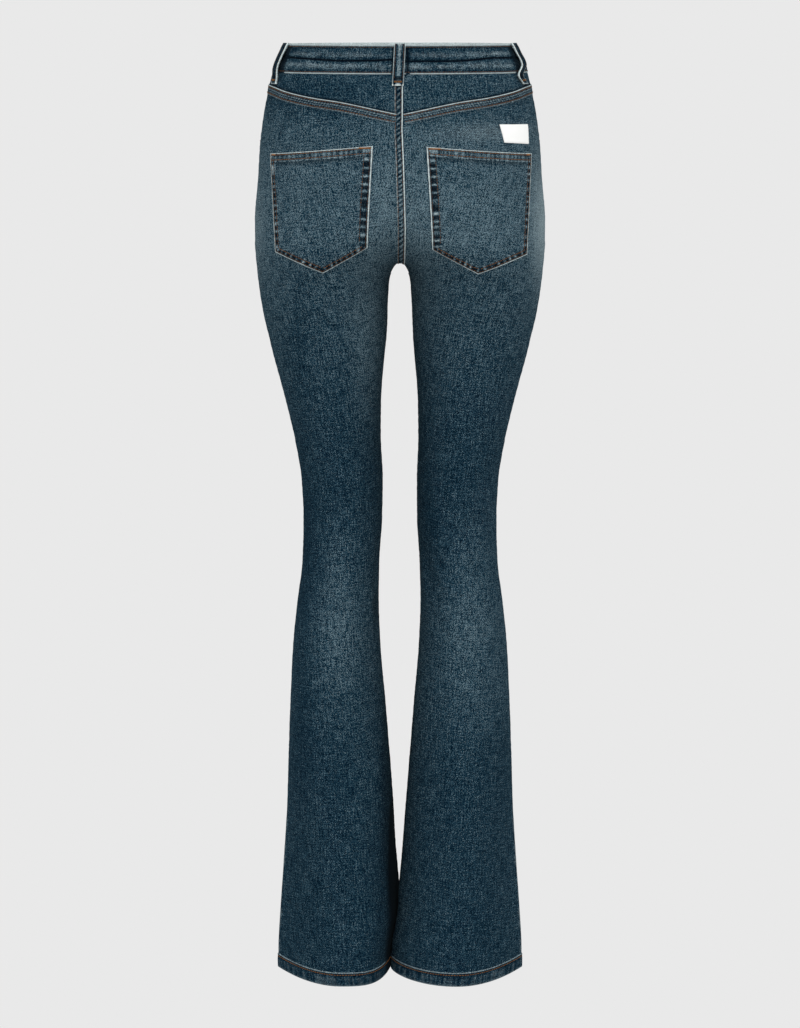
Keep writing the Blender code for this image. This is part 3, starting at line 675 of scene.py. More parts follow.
def legPanels(legName, share):
    heights = panelHeights(yokeSeamPoints[0][1])
    z = heights[:, None] + (yokeSeam(share) - heights[0]) * ease(panel["blend"], heights[0], heights)[:, None]
    grid = np.broadcast_to(share, z.shape)
    clothPieces["back_" + legName] = panelObject("back_panel_" + legName, legName, grid, z, False)
    z = panelHeights(panel["frontTop"])[:, None] + 0 * share
    mouth = mouthShare(z)
    grid = mouth + (1 - mouth) * share
    shift = flyShift(legName, grid, z) if legName == "left" else 0
    clothPieces["front_" + legName] = panelObject("front_panel_" + legName, legName, grid, z, True, shift)


def hipPieces(legName, share):
    top, down = -shape["band"] + panel["yokeLap"], np.linspace(0, 1, panel["yokeRows"])[:, None]
    z = top + (yokeSeam(share)[None, :] + shape["band"] - panel["yokeLap"]) * down
    grid = np.broadcast_to(share, z.shape)
    clothPieces["yoke_" + legName] = panelObject("back_yoke_" + legName, legName, grid, z, False)
    z = np.linspace(*facing["reach"], facing["rows"])[:, None]
    reach = np.minimum(mouthShare(z) + facing["past"], facing["widest"])
    grid = reach * np.linspace(0, 1, facing["columns"])
    spot = (legName, grid, z + 0 * grid, True)
    outside, inside = (clothPoint(*spot, 0 * grid - depth) for depth in facing["depth"])
    # darker where the mouth's edge shades it
    inward = np.clip((mouthShare(z) - grid) * facing["girth"], *facing["shadeLimits"])
    wear = -facing["shade"] * np.exp(-(inward / facing["shadeReach"]) ** 2)
    fields = {"fade": fadeAndLightAt(*spot), "wear": wear}
    clothPieces["facing_" + legName] = wallObject(
        "pocket_facing_" + legName, outside, inside, clothUv(*spot), fields, denimCloth)


# columns gather towards the centre, where the crotch turns
evenly = np.linspace(0, 1, panel["columns"] + 1)
gathered = evenly + panel["gather"] * np.sin(2 * math.pi * evenly) / (2 * math.pi)
for cutOut in (legPanels, hipPieces):
    for legName in legs:
        cutOut(legName, gathered)
print("panels, yokes and facings ready")

# sewing; a stitch's profile: place along, thickness, lift. Its ends are sunk into the cloth.
stitch = {
    "pitch": 3.3, "length": 2.5, "radius": 0.42, "sides": 5, "spread": 0.11,
    "tackPitch": 0.62, "tackSpread": 0.2,
    "profile": [(-0.5, 0.35, -0.12), (-0.34, 0.85, 0.1), (0, 1, 0.22), (0.34, 0.85, 0.1), (0.5, 0.35, -0.12)],
}


def addStitches(group, centres, axes, normals, length, radius, tones):
    side = np.cross(normals, axes)
    rings = []
    for along, thick, lift in stitch["profile"]:
        centre = centres + axes * (along * length) + normals * (lift * radius / stitch["radius"])
        turns = np.arange(stitch["sides"]) * 2 * math.pi / stitch["sides"]
        rings.append(np.stack([centre + (side * math.cos(a) + normals * math.sin(a)) * radius * thick
                               for a in turns], axis=1))
    stitchRuns.setdefault(group, []).append((np.stack(rings, axis=1), np.clip(tones, 0, 1)))


def unit(v):
    return v / np.maximum(np.linalg.norm(v, axis=-1, keepdims=True), 1e-9)


def pathRun(points):
    return np.concatenate([[0], np.cumsum(np.linalg.norm(np.diff(points, axis=0), axis=1))])


def sewRow(group, points, normals, tone, pitch=stitch["pitch"], radius=stitch["radius"]):
    # one stitch after another along a line of points
    run = pathRun(points)
    count = int(run[-1] / pitch)
    s = (np.arange(count) + 0.5) * run[-1] / count
    at = lambda place, values: np.stack([np.interp(place, run, values[:, k]) for k in range(3)], axis=-1)
    axes = unit(at(s + 0.8, points) - at(s - 0.8, points))
    n = at(s, normals)
    n = unit(n - axes * np.sum(n * axes, axis=1, keepdims=True))
    random = np.random.default_rng(len(points) * 31 + count)
    tones = tone + random.uniform(-stitch["spread"], stitch["spread"], count)
    addStitches(group, at(s, points), axes, n, stitch["length"] * pitch / stitch["pitch"], radius, tones)


def sewTack(group, centre, along, normal, length, width, tone):
    # a bar tack: threads side by side along a short line
    along, normal = unit(np.asarray(along, float)), unit(np.asarray(normal, float))
    count = max(3, int(length / stitch["tackPitch"]))
    place = (np.arange(count) + 0.5) / count - 0.5
    random = np.random.default_rng(int(abs(centre[0]) * 7 + abs(centre[2]) * 13))
    centres = np.asarray(centre) + np.outer(place * length, along)
    axes = unit(unit(np.cross(normal, along)) + np.outer(random.uniform(-0.12, 0.12, count), along))
    tones = tone + random.uniform(-stitch["tackSpread"], stitch["tackSpread"], count)
    addStitches(group, centres, axes, np.broadcast_to(normal, axes.shape), width, stitch["radius"], tones)


def finishStitches(group):
    # joins all stitches of a group into one piece
    blocks, tones = (np.concatenate(part) for part in zip(*stitchRuns[group]))
    count, rings, sides = blocks.shape[:3]
    index = np.arange(rings * sides).reshape(rings, sides)
    turned = np.roll(index, -1, axis=1)
    quads = np.stack([index[:-1], turned[:-1], turned[1:], index[1:]], axis=-1).reshape(-1, 4).tolist()
    caps = [index[0, ::-1].tolist(), index[-1].tolist()]
    faces = [[i * rings * sides + v for v in face] for i in range(count) for face in quads + caps]
    return makeMesh("stitches_" + group, blocks.reshape(-1, 3), faces, thread,
                    fields={"tone": np.repeat(tones, rings * sides)})


def stripGrid(legName, forward, pathShare, pathZ, across, towards):
    # share and height of a band beside a line on the cloth; towards picks the side that across counts to
    pathShare, pathZ = bothArrays(pathShare, pathZ)
    tangent = unit(np.gradient(bareSurface(legName, pathShare, pathZ, forward), axis=0))
    inner = np.clip(pathShare, 0.004, 0.996)
    near = lambda ds, dz: bareSurface(legName, inner + ds, pathZ + dz, forward)
    alongShare, alongZ = (near(0.003, 0) - near(-0.003, 0)) / 0.006, (near(0, 1) - near(0, -1)) / 2
    side = np.cross(surfaceNormal(legName, pathShare, pathZ, forward), tangent)
    dot = lambda first, second: np.sum(first * second, axis=1)
    side *= np.sign(dot(side, alongShare * towards[0] + alongZ * towards[1]))[:, None]
    aa, ab, bb = dot(alongShare, alongShare), dot(alongShare, alongZ), dot(alongZ, alongZ)
    pa, pb = dot(side, alongShare), dot(side, alongZ)
    det = aa * bb - ab * ab
    ds, dz = (pa * bb - pb * ab) / det, (pb * aa - pa * ab) / det
    return np.clip(pathShare[:, None] + ds[:, None] * across, 0, 1), pathZ[:, None] + dz[:, None] * across


def besideSeam(legName, forward, z, across, fromInner):
    # places at true distances round the leg from its side seam or inseam
    fine = 0.45 * np.linspace(0, 1, 200) ** 1.6
    if fromInner:
        fine = 1 - fine
    points = bareSurface(legName, fine[None, :], z[:, None], forward)
    runs = [pathRun(row) for row in points]
    return np.array([np.interp(across, run, fine) for run in runs]), z[:, None] + 0 * across[None, :]


def profileAt(profile, across):
    # profile rows: place across, height, wear (its negative values are painted shade), roping
    table = np.array(profile, float)
    return [np.interp(across, table[:, 0], table[:, k]) for k in (1, 2, 3)]


def roping(run, across, period, slant, seed):
    # uneven ridges across a seam, -1 to 1
    x = run / period + slant * across / period + 1.3 * latticeNoise(run / (period * 4), 0.5, seed)
    y = across / (period * 1.6)
    value = 1.25 * latticeNoise(x * 1.7, y, seed + 1) + 0.35 * latticeNoise(x * 4.1, y * 2.2, seed + 2)
    return np.clip(value, -1, 1)


def combed(run, across, period, slant, seed):
    # slanting ridges with dark hollows between them, the dark partly painted shade, uneven in place and
    # strength, -1 to 1
    x = run / period + slant * across / period + 0.7 * latticeNoise(run / period / 2.2, 0.5, seed)
    strength = np.random.default_rng(seed).uniform(0.5, 1, 512)[np.mod(np.floor(x), 512).astype(int)]
    return strength * np.cos(2 * math.pi * x)


def paleBars(run, period, width, seed):
    # pale bars and the deep blocks between them, the blocks' dark partly painted shade, uneven in place, width
    # and strength
    x = run / period + 0.8 * latticeNoise(run / period / 2.1, 0.5, seed)
    k = np.floor(x)
    random = np.random.default_rng(seed)
    pick = np.mod(k, 512).astype(int)
    strength, wide = random.uniform(0.12, 1.1, 512)[pick], width * random.uniform(0.6, 1.4, 512)[pick]
    bar = np.exp(-np.abs(((x - k) - 0.5) / wide) ** 2.4)
    return strength * bar, 1 - bar


def spaced(*stretches):
    # places across a band: each stretch's start, end and step
    return np.concatenate([np.arange(*stretch) for stretch in stretches])


def seamStrip(name, legName, forward, pathShare, pathZ, towards, band, rows=()):
    # a raised, roped band of cloth beside a seam, with its rows of stitches
    across = band["across"]
    if towards in ("side", "inner"):
        grid, z = besideSeam(legName, forward, pathZ, across, towards == "inner")
    else:
        grid, z = stripGrid(legName, forward, pathShare, pathZ, across, towards)
    spot = (legName, grid, z, forward)
    run = pathRun(bareSurface(legName, pathShare + 0 * pathZ, pathZ, forward))[:, None]
    height, wear, amount = profileAt(band["profile"], across)
    bumps = band["ridges"](run, across[None, :], band["period"], band["slant"], band["seed"])
    shade = shadeAt(*spot)
    worn = (wear + amount * band["wear"] * bumps) * (1 + shade) + shade
    points = clothPoint(*spot, height + band["height"] * amount * bumps + undulation(*spot))
    normals = surfaceNormal(*spot)
    fade = fadeAndLightAt(*spot) + band["tint"] * amount * bumps
    seamPieces[name] = shellObject(name, points, clothUv(*spot), {"fade": fade, "wear": worn}, normals)
    for group, place, tone in rows:
        k = int(np.argmin(np.abs(across - place)))
        sewRow(group, points[:, k] + normals[:, k] * 0.12, normals[:, k], tone, radius=band["thread"])


# the V seam: the panel's edge laps over the yoke
yokeBand = {
    "across": spaced((-4.2, -0.6, 0.6), (-0.6, 2.8, 0.34), (2.8, 14.6, 0.62)), "ridges": combed,
    "period": 3.4, "slant": 0.5, "seed": 31, "height": 0.16, "wear": 0.1, "tint": 0.24, "thread": 0.5,
    # place across, height, wear, roping; the deep values just above the ridge are a painted shadow line on the
    # yoke, those in the stitch grooves painted shade
    "profile": [
        (-4.2, -0.1, 0, 0), (-3.4, 0.05, -0.12, 0), (-1.8, 0.1, -0.6, 0), (-0.6, 0.1, -0.95, 0),
        (-0.2, 0.8, 0.3, 0), (0.35, 1.35, 0.72, 0), (0.8, 1.3, 0.45, 0.1), (1.2, 1.05, -0.05, 0.1),
        (2, 0.75, -0.6, 0.1), (2.8, 0.95, -0.3, 0.6), (4, 1.05, 0.16, 1), (4.8, 1.05, 0.1, 1),
        (5.6, 0.98, -0.22, 0.6), (6.6, 0.98, 0.12, 1), (7.4, 0.9, 0.08, 1), (8.1, 0.75, -0.35, 0.6),
        (8.8, 0.5, -0.65, 0.2), (9.5, 0.6, -0.1, 0.4), (10.3, 0.75, 0.24, 0.6), (11.1, 0.5, -0.05, 0.5),
        (12.4, 0.2, -0.22, 0.4), (14.2, -0.12, 0, 0),
    ],
}
# side seams: a pressed edge with a fine pucker
sideBand = {
    "across": spaced((0, 3, 0.5), (3, 8.1, 0.85)), "ridges": roping,
    "period": 6.5, "slant": 0.3, "seed": 47, "frontSeed": 53, "height": 0.22, "wear": 0.12, "tint": 0.1,
    # the deep value at the seam line is painted shade in its crease
    "profile": [
        (0, -0.55, -0.8, 0), (0.5, 0.25, -0.2, 0.2), (1.1, 0.5, 0.26, 0.8), (2.2, 0.42, 0.08, 1),
        (4, 0.3, 0, 0.8), (8, -0.12, 0, 0),
    ],
}
# inseams: felled, a soft ridge
inseamBand = {
    "across": spaced((0, 3, 0.5), (3, 11.6, 0.85)), "ridges": roping,
    "period": 6, "slant": 0.5, "seed": 61, "frontSeed": 67, "height": 0.25, "wear": 0.16, "tint": 0.1,
    # the deep values at the seam line and in the grooves are painted shade
    "profile": [
        (0, -0.4, -0.4, 0), (0.5, 0.2, -0.1, 0.2), (1.2, 0.4, 0.05, 0.5), (2.1, 0.35, -0.1, 0.2),
        (4.5, 0.5, 0, 1), (7, 0.5, 0, 0.9), (8, 0.3, -0.2, 0.2), (9.2, 0.35, 0.08, 0.6),
        (11.5, -0.12, 0, 0),
    ],
}
seamShare = np.linspace(0.004, 0.985, 290)
for legName in legs:
    seamStrip("yoke_seam_" + legName, legName, False, seamShare, yokeSeam(seamShare), (0, -1), yokeBand,
              rows=[("yoke_" + legName, 2, 0.24), ("yoke_" + legName, 8.8, 0.28)])
# the seams down both edges of a leg: name, band, share, which edge, heights, top of the front's part
downSeams = [("side_seam_", sideBand, 0, "side", np.arange(-49, -1097, -2), -112),
             ("inseam_", inseamBand, 1, "inner", np.arange(-266, -1097, -2.2), -272)]
for kind, band, edge, towards, z, frontTop in downSeams:
    for legName in legs:
        seamStrip(kind + legName, legName, False, edge, z, towards, band)
        seamStrip(kind + "front_" + legName, legName, True, edge, z[z < frontTop], towards,
                  {**band, "seed": band["frontSeed"]})
print("yoke, side and inner seams ready")


def seatPoint(x, z, forward=False):
    # the cloth beside the centre plane: x from the wearer's right (-) to left (+), and its normal
    x, z = bothArrays(x, z)
    points, normals = np.zeros((*x.shape, 3)), np.zeros((*x.shape, 3))
    share = np.linspace(0.72, 1, 141)
    for legName, part in (("left", x >= 0), ("right", x < 0)):
        if not part.any():
            continue
        table = np.abs(bareSurface(legName, share[None, :], z[part][:, None], forward)[..., 0])
        found = np.array([np.interp(w, row[::-1], share[::-1]) for w, row in zip(np.abs(x[part]), table)])
        points[part] = bareSurface(legName, found, z[part], forward)
        normals[part] = surfaceNormal(legName, found, z[part], forward)
    points[..., 1] += (-1 if forward else 1) * shape["halfGap"]
    return points, normals


# the seat seam, down the centre of the back
seatBand = {
    "across": spaced((-5.6, -2.6, 0.32), (-2.6, 2.6, 0.6), (2.6, 5.7, 0.32)),
    "period": 5.8, "slant": -0.75, "seed": 71, "height": 0.4, "wear": 0.62, "tint": 0.24,
    # the strip's heights, its two rows of stitches and where those on the yoke end
    "down": (-34.5, -254.2, -0.9), "rows": (-2.7, 3.1), "tone": 0.16, "yokeEnd": -80,
    "pieceShift": 300, "fadeShare": 0.97, "deeper": 0.1, "mostBump": 0.3,
    # where the V seam crosses: height, half height, from where to where across, how much it hides
    "crossing": (-83, 11, (1.5, 3), 0.85),
    # height and the seam's middle, wearer's left is +
    "line": [(-34, 1.5), (-80, 1.6), (-95, 1.9), (-130, 0.3), (-205, -2), (-250, -1.6), (-262, -0.5)],
    # the deep values beside the ridges are painted shade in the grooves
    "profile": [
        (-5.6, -0.3, -0.3, 0), (-4.9, 0.35, -0.6, 0), (-4.6, 1.1, 0.85, 0.1), (-4, 1.2, 0.88, 0.2),
        (-3.3, 0.9, 0.1, 0.3), (-2.6, 0.6, -0.5, 0.4), (-1.4, 0.95, -0.1, 1), (0, 1.05, -0.05, 1),
        (1.4, 0.95, -0.1, 1), (2.7, 0.65, -0.5, 0.5), (3.4, 0.7, 0.05, 0.4), (4.1, 0.75, 0.4, 0.3),
        (4.7, 0.5, 0, 0.2), (5.6, -0.2, -0.2, 0),
    ],
}


def seatSeam():
    across = seatBand["across"]
    z = np.arange(*seatBand["down"])[:, None]
    x = np.interp(z, *tableRows(seatBand["line"])) + across
    height, wear, amount = profileAt(seatBand["profile"], across)
    bumps = combed(-z, across[None, :], seatBand["period"], seatBand["slant"], seatBand["seed"])
    points, normals = seatPoint(x, z)
    points = points + normals * (height + seatBand["height"] * amount * bumps)[..., None]
    uv = np.stack([(x + seatBand["pieceShift"]) * mm, points[..., 2] * mm], axis=-1)
    # the left side's pale line gives way where the V seam crosses
    middle, half, side, hidden = seatBand["crossing"]
    lapped = 1 - hidden * np.exp(-(((z - middle) / half) ** 4)) * ease(*side, across[None, :])
    fade = fadeAndLightAt("left", seatBand["fadeShare"], z, False) - seatBand["deeper"]
    worn = wear + amount * seatBand["wear"] * np.minimum(bumps, seatBand["mostBump"])
    fields = {"fade": fade + seatBand["tint"] * amount * bumps, "wear": lapped * worn}
    seamPieces["seat_seam"] = shellObject("seat_seam", points, uv, fields, normals)
    below = z[:, 0] < seatBand["yokeEnd"]
    for place in seatBand["rows"]:
        k = int(np.argmin(np.abs(across - place)))
        for group, rows in (("seat", below), ("yoke_left", ~below)):
            sewRow(group, points[rows, k] + normals[rows, k] * 0.1, normals[rows, k], seatBand["tone"])


seatSeam()


def tubeObject(name, points, uv, fields, closed):
    # points[a, p]: place along and place round the section; closed joins the last place to the first
    count, section = points.shape[:2]
    index = np.arange(count * section).reshape(count, section)
    following = np.roll(index, -1, axis=0) if closed else index[1:]
    a = index if closed else index[:-1]
    quads = np.stack([a, following, np.roll(following, -1, axis=1), np.roll(a, -1, axis=1)], axis=-1)
    faces = quads.reshape(-1, 4).tolist()
    if not closed:
        faces += [index[0].tolist(), index[-1][::-1].tolist()]
    m, p = count // 2, section // 4
    u, v = points[m + 1, p] - points[m, p], points[m, p + 1] - points[m, p]
    if np.dot(np.cross(u, v), points[m, p] - points[m].mean(axis=0)) < 0:
        faces = turnFaces(faces)
    return makeMesh(name, points, faces, denimCloth, uv, fields)


hem = {
    "step": 1.15, "period": 4.4, "slant": 0.5, "seed": 83, "height": 0.12, "wear": 0.05, "deeper": 0.05,
    "tint": 0.13, "middle": 8, "lean": 0.35, "rowColumn": 5, "rowTone": 0.36, "thread": 0.48, "stand": 0.15,
    # height above the hem and strength of the two palest lines, rubbed along its ridges
    "palest": [(16.9, 0.55), (0.6, 0.35)], "palestWidth": 0.7,
    # height above the hem, distance out, wear (the deep values above the ridge and in the stitch groove are
    # painted shade), roping
    "profile": [
        (17.9, -0.6, -0.4, 0), (17.5, 0.25, 0, 0.1), (17.1, 0.85, 0.2, 0.2), (16.5, 0.95, 0.16, 0.3),
        (15.7, 0.75, -0.35, 0.4), (14.3, 0.55, -0.5, 0.5), (13.1, 0.75, -0.35, 0.8), (11.6, 0.9, -0.05, 1),
        (9.5, 0.95, 0.02, 1), (7, 0.92, 0, 0.8), (4.5, 0.88, 0, 0.6), (2.4, 0.82, 0.02, 0.5),
        (1, 0.75, 0.06, 0.4), (0.25, 0.5, 0.1, 0.2), (0, -0.1, 0.05, 0), (0, -1.2, 0, 0),
        (0.6, -1.9, 0, 0), (8, -2.1, 0, 0), (16, -2, 0, 0), (17.6, -1.5, 0, 0),
    ],
}


def hemRing(legName):
    fine = np.linspace(0, 1, 401)
    up, out, wear, amount = np.array(hem["profile"]).T
    middle = shape["hem"] + hem["middle"]
    parts = []
    for forward in (False, True):
        run = pathRun(bareSurface(legName, fine, middle, forward))
        share = np.interp(np.linspace(0, run[-1], int(run[-1] / hem["step"]) + 1), run, fine)
        if forward:
            share = share[::-1]
        share = share[:, None]
        spot = (legName, share + 0 * up, shape["hem"] + up + 0 * share, forward)
        girth = clothUv(legName, share, middle, forward)[..., 0] / mm
        across = hem["lean"] * up[None, :]
        bumps = roping(girth, across, hem["period"], hem["slant"], hem["seed"] + forward)
        pale = sum(strength * np.exp(-((up - place) / hem["palestWidth"]) ** 2)
                   for place, strength in hem["palest"])
        shade = shadeAt(*spot)
        fade = fadeAndLightAt(*spot) + pale - hem["deeper"] + hem["tint"] * bumps * amount
        worn = (wear + hem["wear"] * amount * bumps) * (1 + shade) + shade
        points = clothPoint(*spot, out + hem["height"] * amount * bumps)
        parts.append((points, surfaceNormal(*spot), clothUv(*spot), fade, worn))
    points, normals, uv, fade, worn = (np.concatenate(both) for both in zip(*parts))
    made = tubeObject("hem_" + legName, points, uv, {"fade": fade, "wear": worn}, True)
    column = hem["rowColumn"]
    points, normals = (np.append(values, values[:1], axis=0)[:, column] for values in (points, normals))
    points = points + hem["stand"] * normals
    sewRow("hem_" + legName, points, normals, hem["rowTone"], radius=hem["thread"])
    return made


hemPieces = {legName: hemRing(legName) for legName in legs}
print("hems and seat seam ready")

waistband = {
    "step": 1.1, "over": 5.5, "under": 30, "tuck": 4.4, "tuckBetween": (40, 16), "middle": -16.5,
    "period": 4.6, "slant": -0.45, "seed": 97, "height": 0.12, "wear": 0.03, "fade": 0.24,
    # the waves of the crease, calmer behind: strength, length, row, seed
    "waves": [(1.6, 34, 0.3, 3), (0.8, 11, 0.6, 4)], "behind": (0.1, -0.3), "calmBehind": 0.85,
    # strength, length, height, seed
    "clouds": [(0.07, 22, 7, 19), (0.06, 5, 5, 23)], "streaks": [(0.7, 18, 1.7, 29), (0.7, 4.5, 2.2, 37)],
    # the two rolls' heights and widths, how pale they are, and where the lower one is palest
    "rolls": [(24, 2.7), (11.5, 2.4)], "rollPale": (0.04, 0.62, 0.6), "rollWorn": 0.16,
    "lowRoll": (-30, -80), "lowRollLeast": 0.25,
    # where the loops shade the band beside them: the back one's place, half width and softness,
    # the other two's places and softness
    "middleShade": (-0.6, 8, 1.9), "shaded": (-131, 131), "shadedWidth": 3.6, "shadeTop": -3, "shade": 0.9,
    "pieceShift": 2800, "inside": {"fade": 0.95, "wear": 0.7},
    # the profile's column and the tone of each row of stitches
    "rows": [(4, 0.16), (21, 0.12)], "firstInside": 26,
    # height, distance out, wear (the near black at the crease and the deep values in the grooves are painted
    # shade), roping, how far the crease's waves carry it up and down
    "profile": [
        (-33, -1.6, 0, 0, 0), (-33, 0.2, 0.4, 0, 0), (-32.5, 0.95, 0.75, 0.2, 0),
        (-31.8, 1.05, 0.4, 0.3, 0), (-30.6, 0.75, -0.55, 0.3, 0), (-29.4, 1, -0.3, 0.5, 0),
        (-27.5, 1.35, 0, 0.9, 0.1), (-25.5, 1.6, 0.02, 1, 0.3), (-23.5, 1.65, 0.02, 1, 0.6),
        (-21.5, 1.45, 0, 0.9, 0.8), (-20, 1.1, 0, 0.6, 1), (-19, 0.65, -0.5, 0.4, 1),
        (-18.3, 0.3, -1, 0.2, 1), (-17.2, 0.35, -1, 0.2, 1), (-16.3, 0.9, -0.35, 0.5, 1),
        (-14.2, 1.35, 0, 0.9, 0.8), (-12, 1.55, 0.03, 1, 0.5), (-9.8, 1.5, 0.02, 1, 0.2),
        (-7.5, 1.4, 0, 0.9, 0), (-5.2, 1.3, -0.1, 0.8, 0), (-3.6, 1.05, -0.45, 0.6, 0),
        (-2.7, 0.75, -0.75, 0.4, 0), (-1.8, 0.9, 0.15, 0.4, 0), (-0.9, 0.75, 0.45, 0.3, 0),
        (-0.2, 0.25, 0.6, 0.1, 0), (0, -0.6, 0.6, 0, 0), (-0.5, -1.6, 0, 0, 0), (-4, -2.15, 0, 0, 0),
        (-16.5, -2.2, 0, 0, 0), (-29, -2.2, 0, 0, 0), (-32.6, -2.1, 0, 0, 0),
    ],
}
# the crease across the back, from the wearer's right to left: place and how far it lies from its mean height
waistCrease = [
    (-150, 2), (-135, 1.8), (-106, 2.6), (-70, -0.6), (-40, -0.9), (-6, -0.6), (9, 0.9), (40, -0.3),
    (70, -0.6), (110, 1.6), (135, 3.4), (150, 3.6),
]


def waistPoint(angle, z, out):
    # angle is 0 at the centre front and turns to the wearer's right
    half, line = sectionAt("outer", z), sectionAt("sideY", z)
    depth = np.where(np.cos(angle) > 0, sectionAt("front", z), sectionAt("back", z))
    x, y = -half * np.sin(angle), line - depth * np.cos(angle)
    n = unit(np.stack([-depth * np.sin(angle), -half * np.cos(angle), 0 * x], axis=-1))
    return np.stack([x, y, z + 0 * x], axis=-1) + n * np.asarray(out)[..., None], n


def waistRing():
    half = float(sectionAt("outer", waistband["middle"]))
    start, end = -waistband["under"] / half, 2 * math.pi + waistband["over"] / half
    fine = np.linspace(start, end, 2001)
    run = pathRun(waistPoint(fine, waistband["middle"] + 0 * fine, 0 * fine)[0])
    girth = np.linspace(0, run[-1], int(run[-1] / waistband["step"]) + 1)[:, None]
    angle = np.interp(girth, run, fine)
    height, out, wear, amount, carried = np.array(waistband["profile"]).T
    wave = sum(part * latticeNoise(girth / wide, row, seed) for part, wide, row, seed in waistband["waves"])
    behind = ease(*waistband["behind"], np.cos(angle))
    place = -half * np.sin(angle)
    crease = np.interp(place, *np.array(waistCrease).T)
    wave = wave * (1 - waistband["calmBehind"] * behind) + crease * behind
    z = height + carried * wave
    tuck = waistband["tuck"] * ease(*(edge / half for edge in waistband["tuckBetween"]), angle)
    bumps = roping(girth, height[None, :], waistband["period"], waistband["slant"], waistband["seed"])
    points, normals = waistPoint(angle + 0 * z, z, out + waistband["height"] * amount * bumps - tuck)
    uv = np.stack([(girth + waistband["pieceShift"] + 0 * z) * mm, z * mm], axis=-1)
    # rubbed paler along the two rolls, and pale all over inside
    around = girth + 0 * z
    soft, streaks = (sum(part * latticeNoise(around / wide, z / high, seed)
                         for part, wide, high, seed in waistband[kind]) for kind in ("clouds", "streaks"))
    streaks = 0.5 + 0.5 * np.clip(streaks, -1, 1)
    rolls = [np.exp(-((z + depth) / width) ** 2) for depth, width in waistband["rolls"]]
    outerRight = waistband["lowRollLeast"]
    outerRight = outerRight + (1 - outerRight) * ease(*waistband["lowRoll"], place)
    plain, upper, lower = waistband["rollPale"]
    soft = soft + (plain + upper * streaks) * rolls[0] + lower * streaks * outerRight * rolls[1]
    streaked = waistband["rollWorn"] * streaks ** 2 * (rolls[0] + outerRight * rolls[1]) * behind
    inside = np.arange(len(height)) >= waistband["firstInside"]
    middle, beside, softness = waistband["middleShade"]
    shade = np.exp(-(((np.abs(place - middle) - beside) / softness) ** 4)) * behind
    for loopPlace in waistband["shaded"]:
        shade = shade + np.exp(-(((place - loopPlace) / waistband["shadedWidth"]) ** 4)) * behind
    shade = np.where(z < waistband["shadeTop"], np.clip(shade, 0, 1), 0)
    worn = (wear + streaked + waistband["wear"] * amount * bumps) * (1 - shade) - waistband["shade"] * shade
    fields = {"fade": waistband["fade"] + soft, "wear": worn}
    fields = {field: np.where(inside, waistband["inside"][field], values) for field, values in fields.items()}
    made = tubeObject("waistband_cloth", points, uv, fields, False)
    for k, tone in waistband["rows"]:
        sewRow("waistband", points[3:-2, k] + 0.12 * normals[3:-2, k], normals[3:-2, k], tone)
    return made


clothPieces["waistband"] = waistRing()

beltLoop = {
    "foot": -45.5, "period": 4.2, "slant": 0.3, "seed": 101, "height": 0.14, "wear": 0.08, "fade": 0.26,
    "tint": 0.1, "rowsDown": 64, "top": {True: -0.5, False: 1.2}, "least": 0.4,
    "pieceShift": 3600, "shiftStep": 60,
    # the profile's columns that are sewn, how far down, and the stitches' tone, pitch and thickness
    "rows": (4, 12), "sewnTo": -37.5, "tone": 0.12, "pitch": 2.8, "thread": 0.36,
    # the bar tack's row, how far out it lies, its length, width and tone
    "tackRow": -7, "tackOut": 0.35, "tack": (9, 2.2, 0.34),
    # the rubbed ends and the stitched fold at the foot: height, half height, how pale or dark
    "tips": [(0.4, 1.2, 0.35), (-45.2, 1.5, 0.95)], "footFold": (-37.2, 2.1, 0.9), "footEdge": (4.9, 5.6),
    # how far the middle's own colour reaches, how dark the painted shadow inside a deep one is and how pale
    # its edges are
    "middleEdge": (1.5, 2.6), "darkMiddle": (12, 5, 0.6), "paleEdge": (5.5, 0.4),
    # height, inner and outer face's distance out
    "face": [
        (1.2, 1.9, 4.4), (-3.5, 2.2, 5.6), (-8, 3.4, 6), (-14, 4.3, 6.5), (-21, 4.5, 6.7),
        (-27.5, 4, 6.2), (-32.5, 3, 5.4), (-36.5, 1.8, 4.6), (-39.5, 0.5, 4), (-45.5, 0.5, 3.2),
    ],
    # one half: across from the middle, height, wear (the deep values in the grooves are painted shade), roping
    "profile": [
        (-6.5, -1.1, 0.2, 0), (-6.3, -0.25, 0.55, 0.2), (-5.9, 0, 0.45, 0.3), (-5.3, -0.05, -0.2, 0.3),
        (-4.6, -0.35, -0.7, 0.2), (-3.9, -0.15, -0.6, 0.3), (-2.6, 0.1, -0.1, 0.6), (-1.2, 0.18, 0.1, 1),
        (0, 0.2, 0.12, 1),
    ],
}
# height, how far the loop has slipped towards the centre of the back, how far it is drawn in
straight = [(-45, 0, 0), (0, 0, 0)]
leftSway = [(-45, 0.5, 0), (-36, 0, 0.6), (-28, -0.6, 0.4), (-18, 0.6, 0), (-8, 0.6, 0), (0, -0.4, 0)]
rightSway = [
    (-45, 2, 0), (-41, 7, 0.4), (-37, 10.5, 1.4), (-34, 10, 1.8), (-30.5, 7.5, 1.2), (-27, 4, 0),
    (-23, 0.4, -0.5), (-18, -0.8, -0.3), (-10, 0.4, 0), (0, 0, 0),
]
# name, leg, front, share, lean, sway, how pale its middle is (a negative one is a painted shadow inside the
# loop)
loopTable = [("loop_back", "left", False, 1, 2.5, straight, 0.46),
             ("loop_back_left", "left", False, 0.2, 0, leftSway, -0.1),
             ("loop_back_right", "right", False, 0.2, 0, rightSway, -0.1),
             ("loop_front_left", "left", True, 0.62, 0, straight, 0.3),
             ("loop_front_right", "right", True, 0.62, 0, straight, 0.3)]


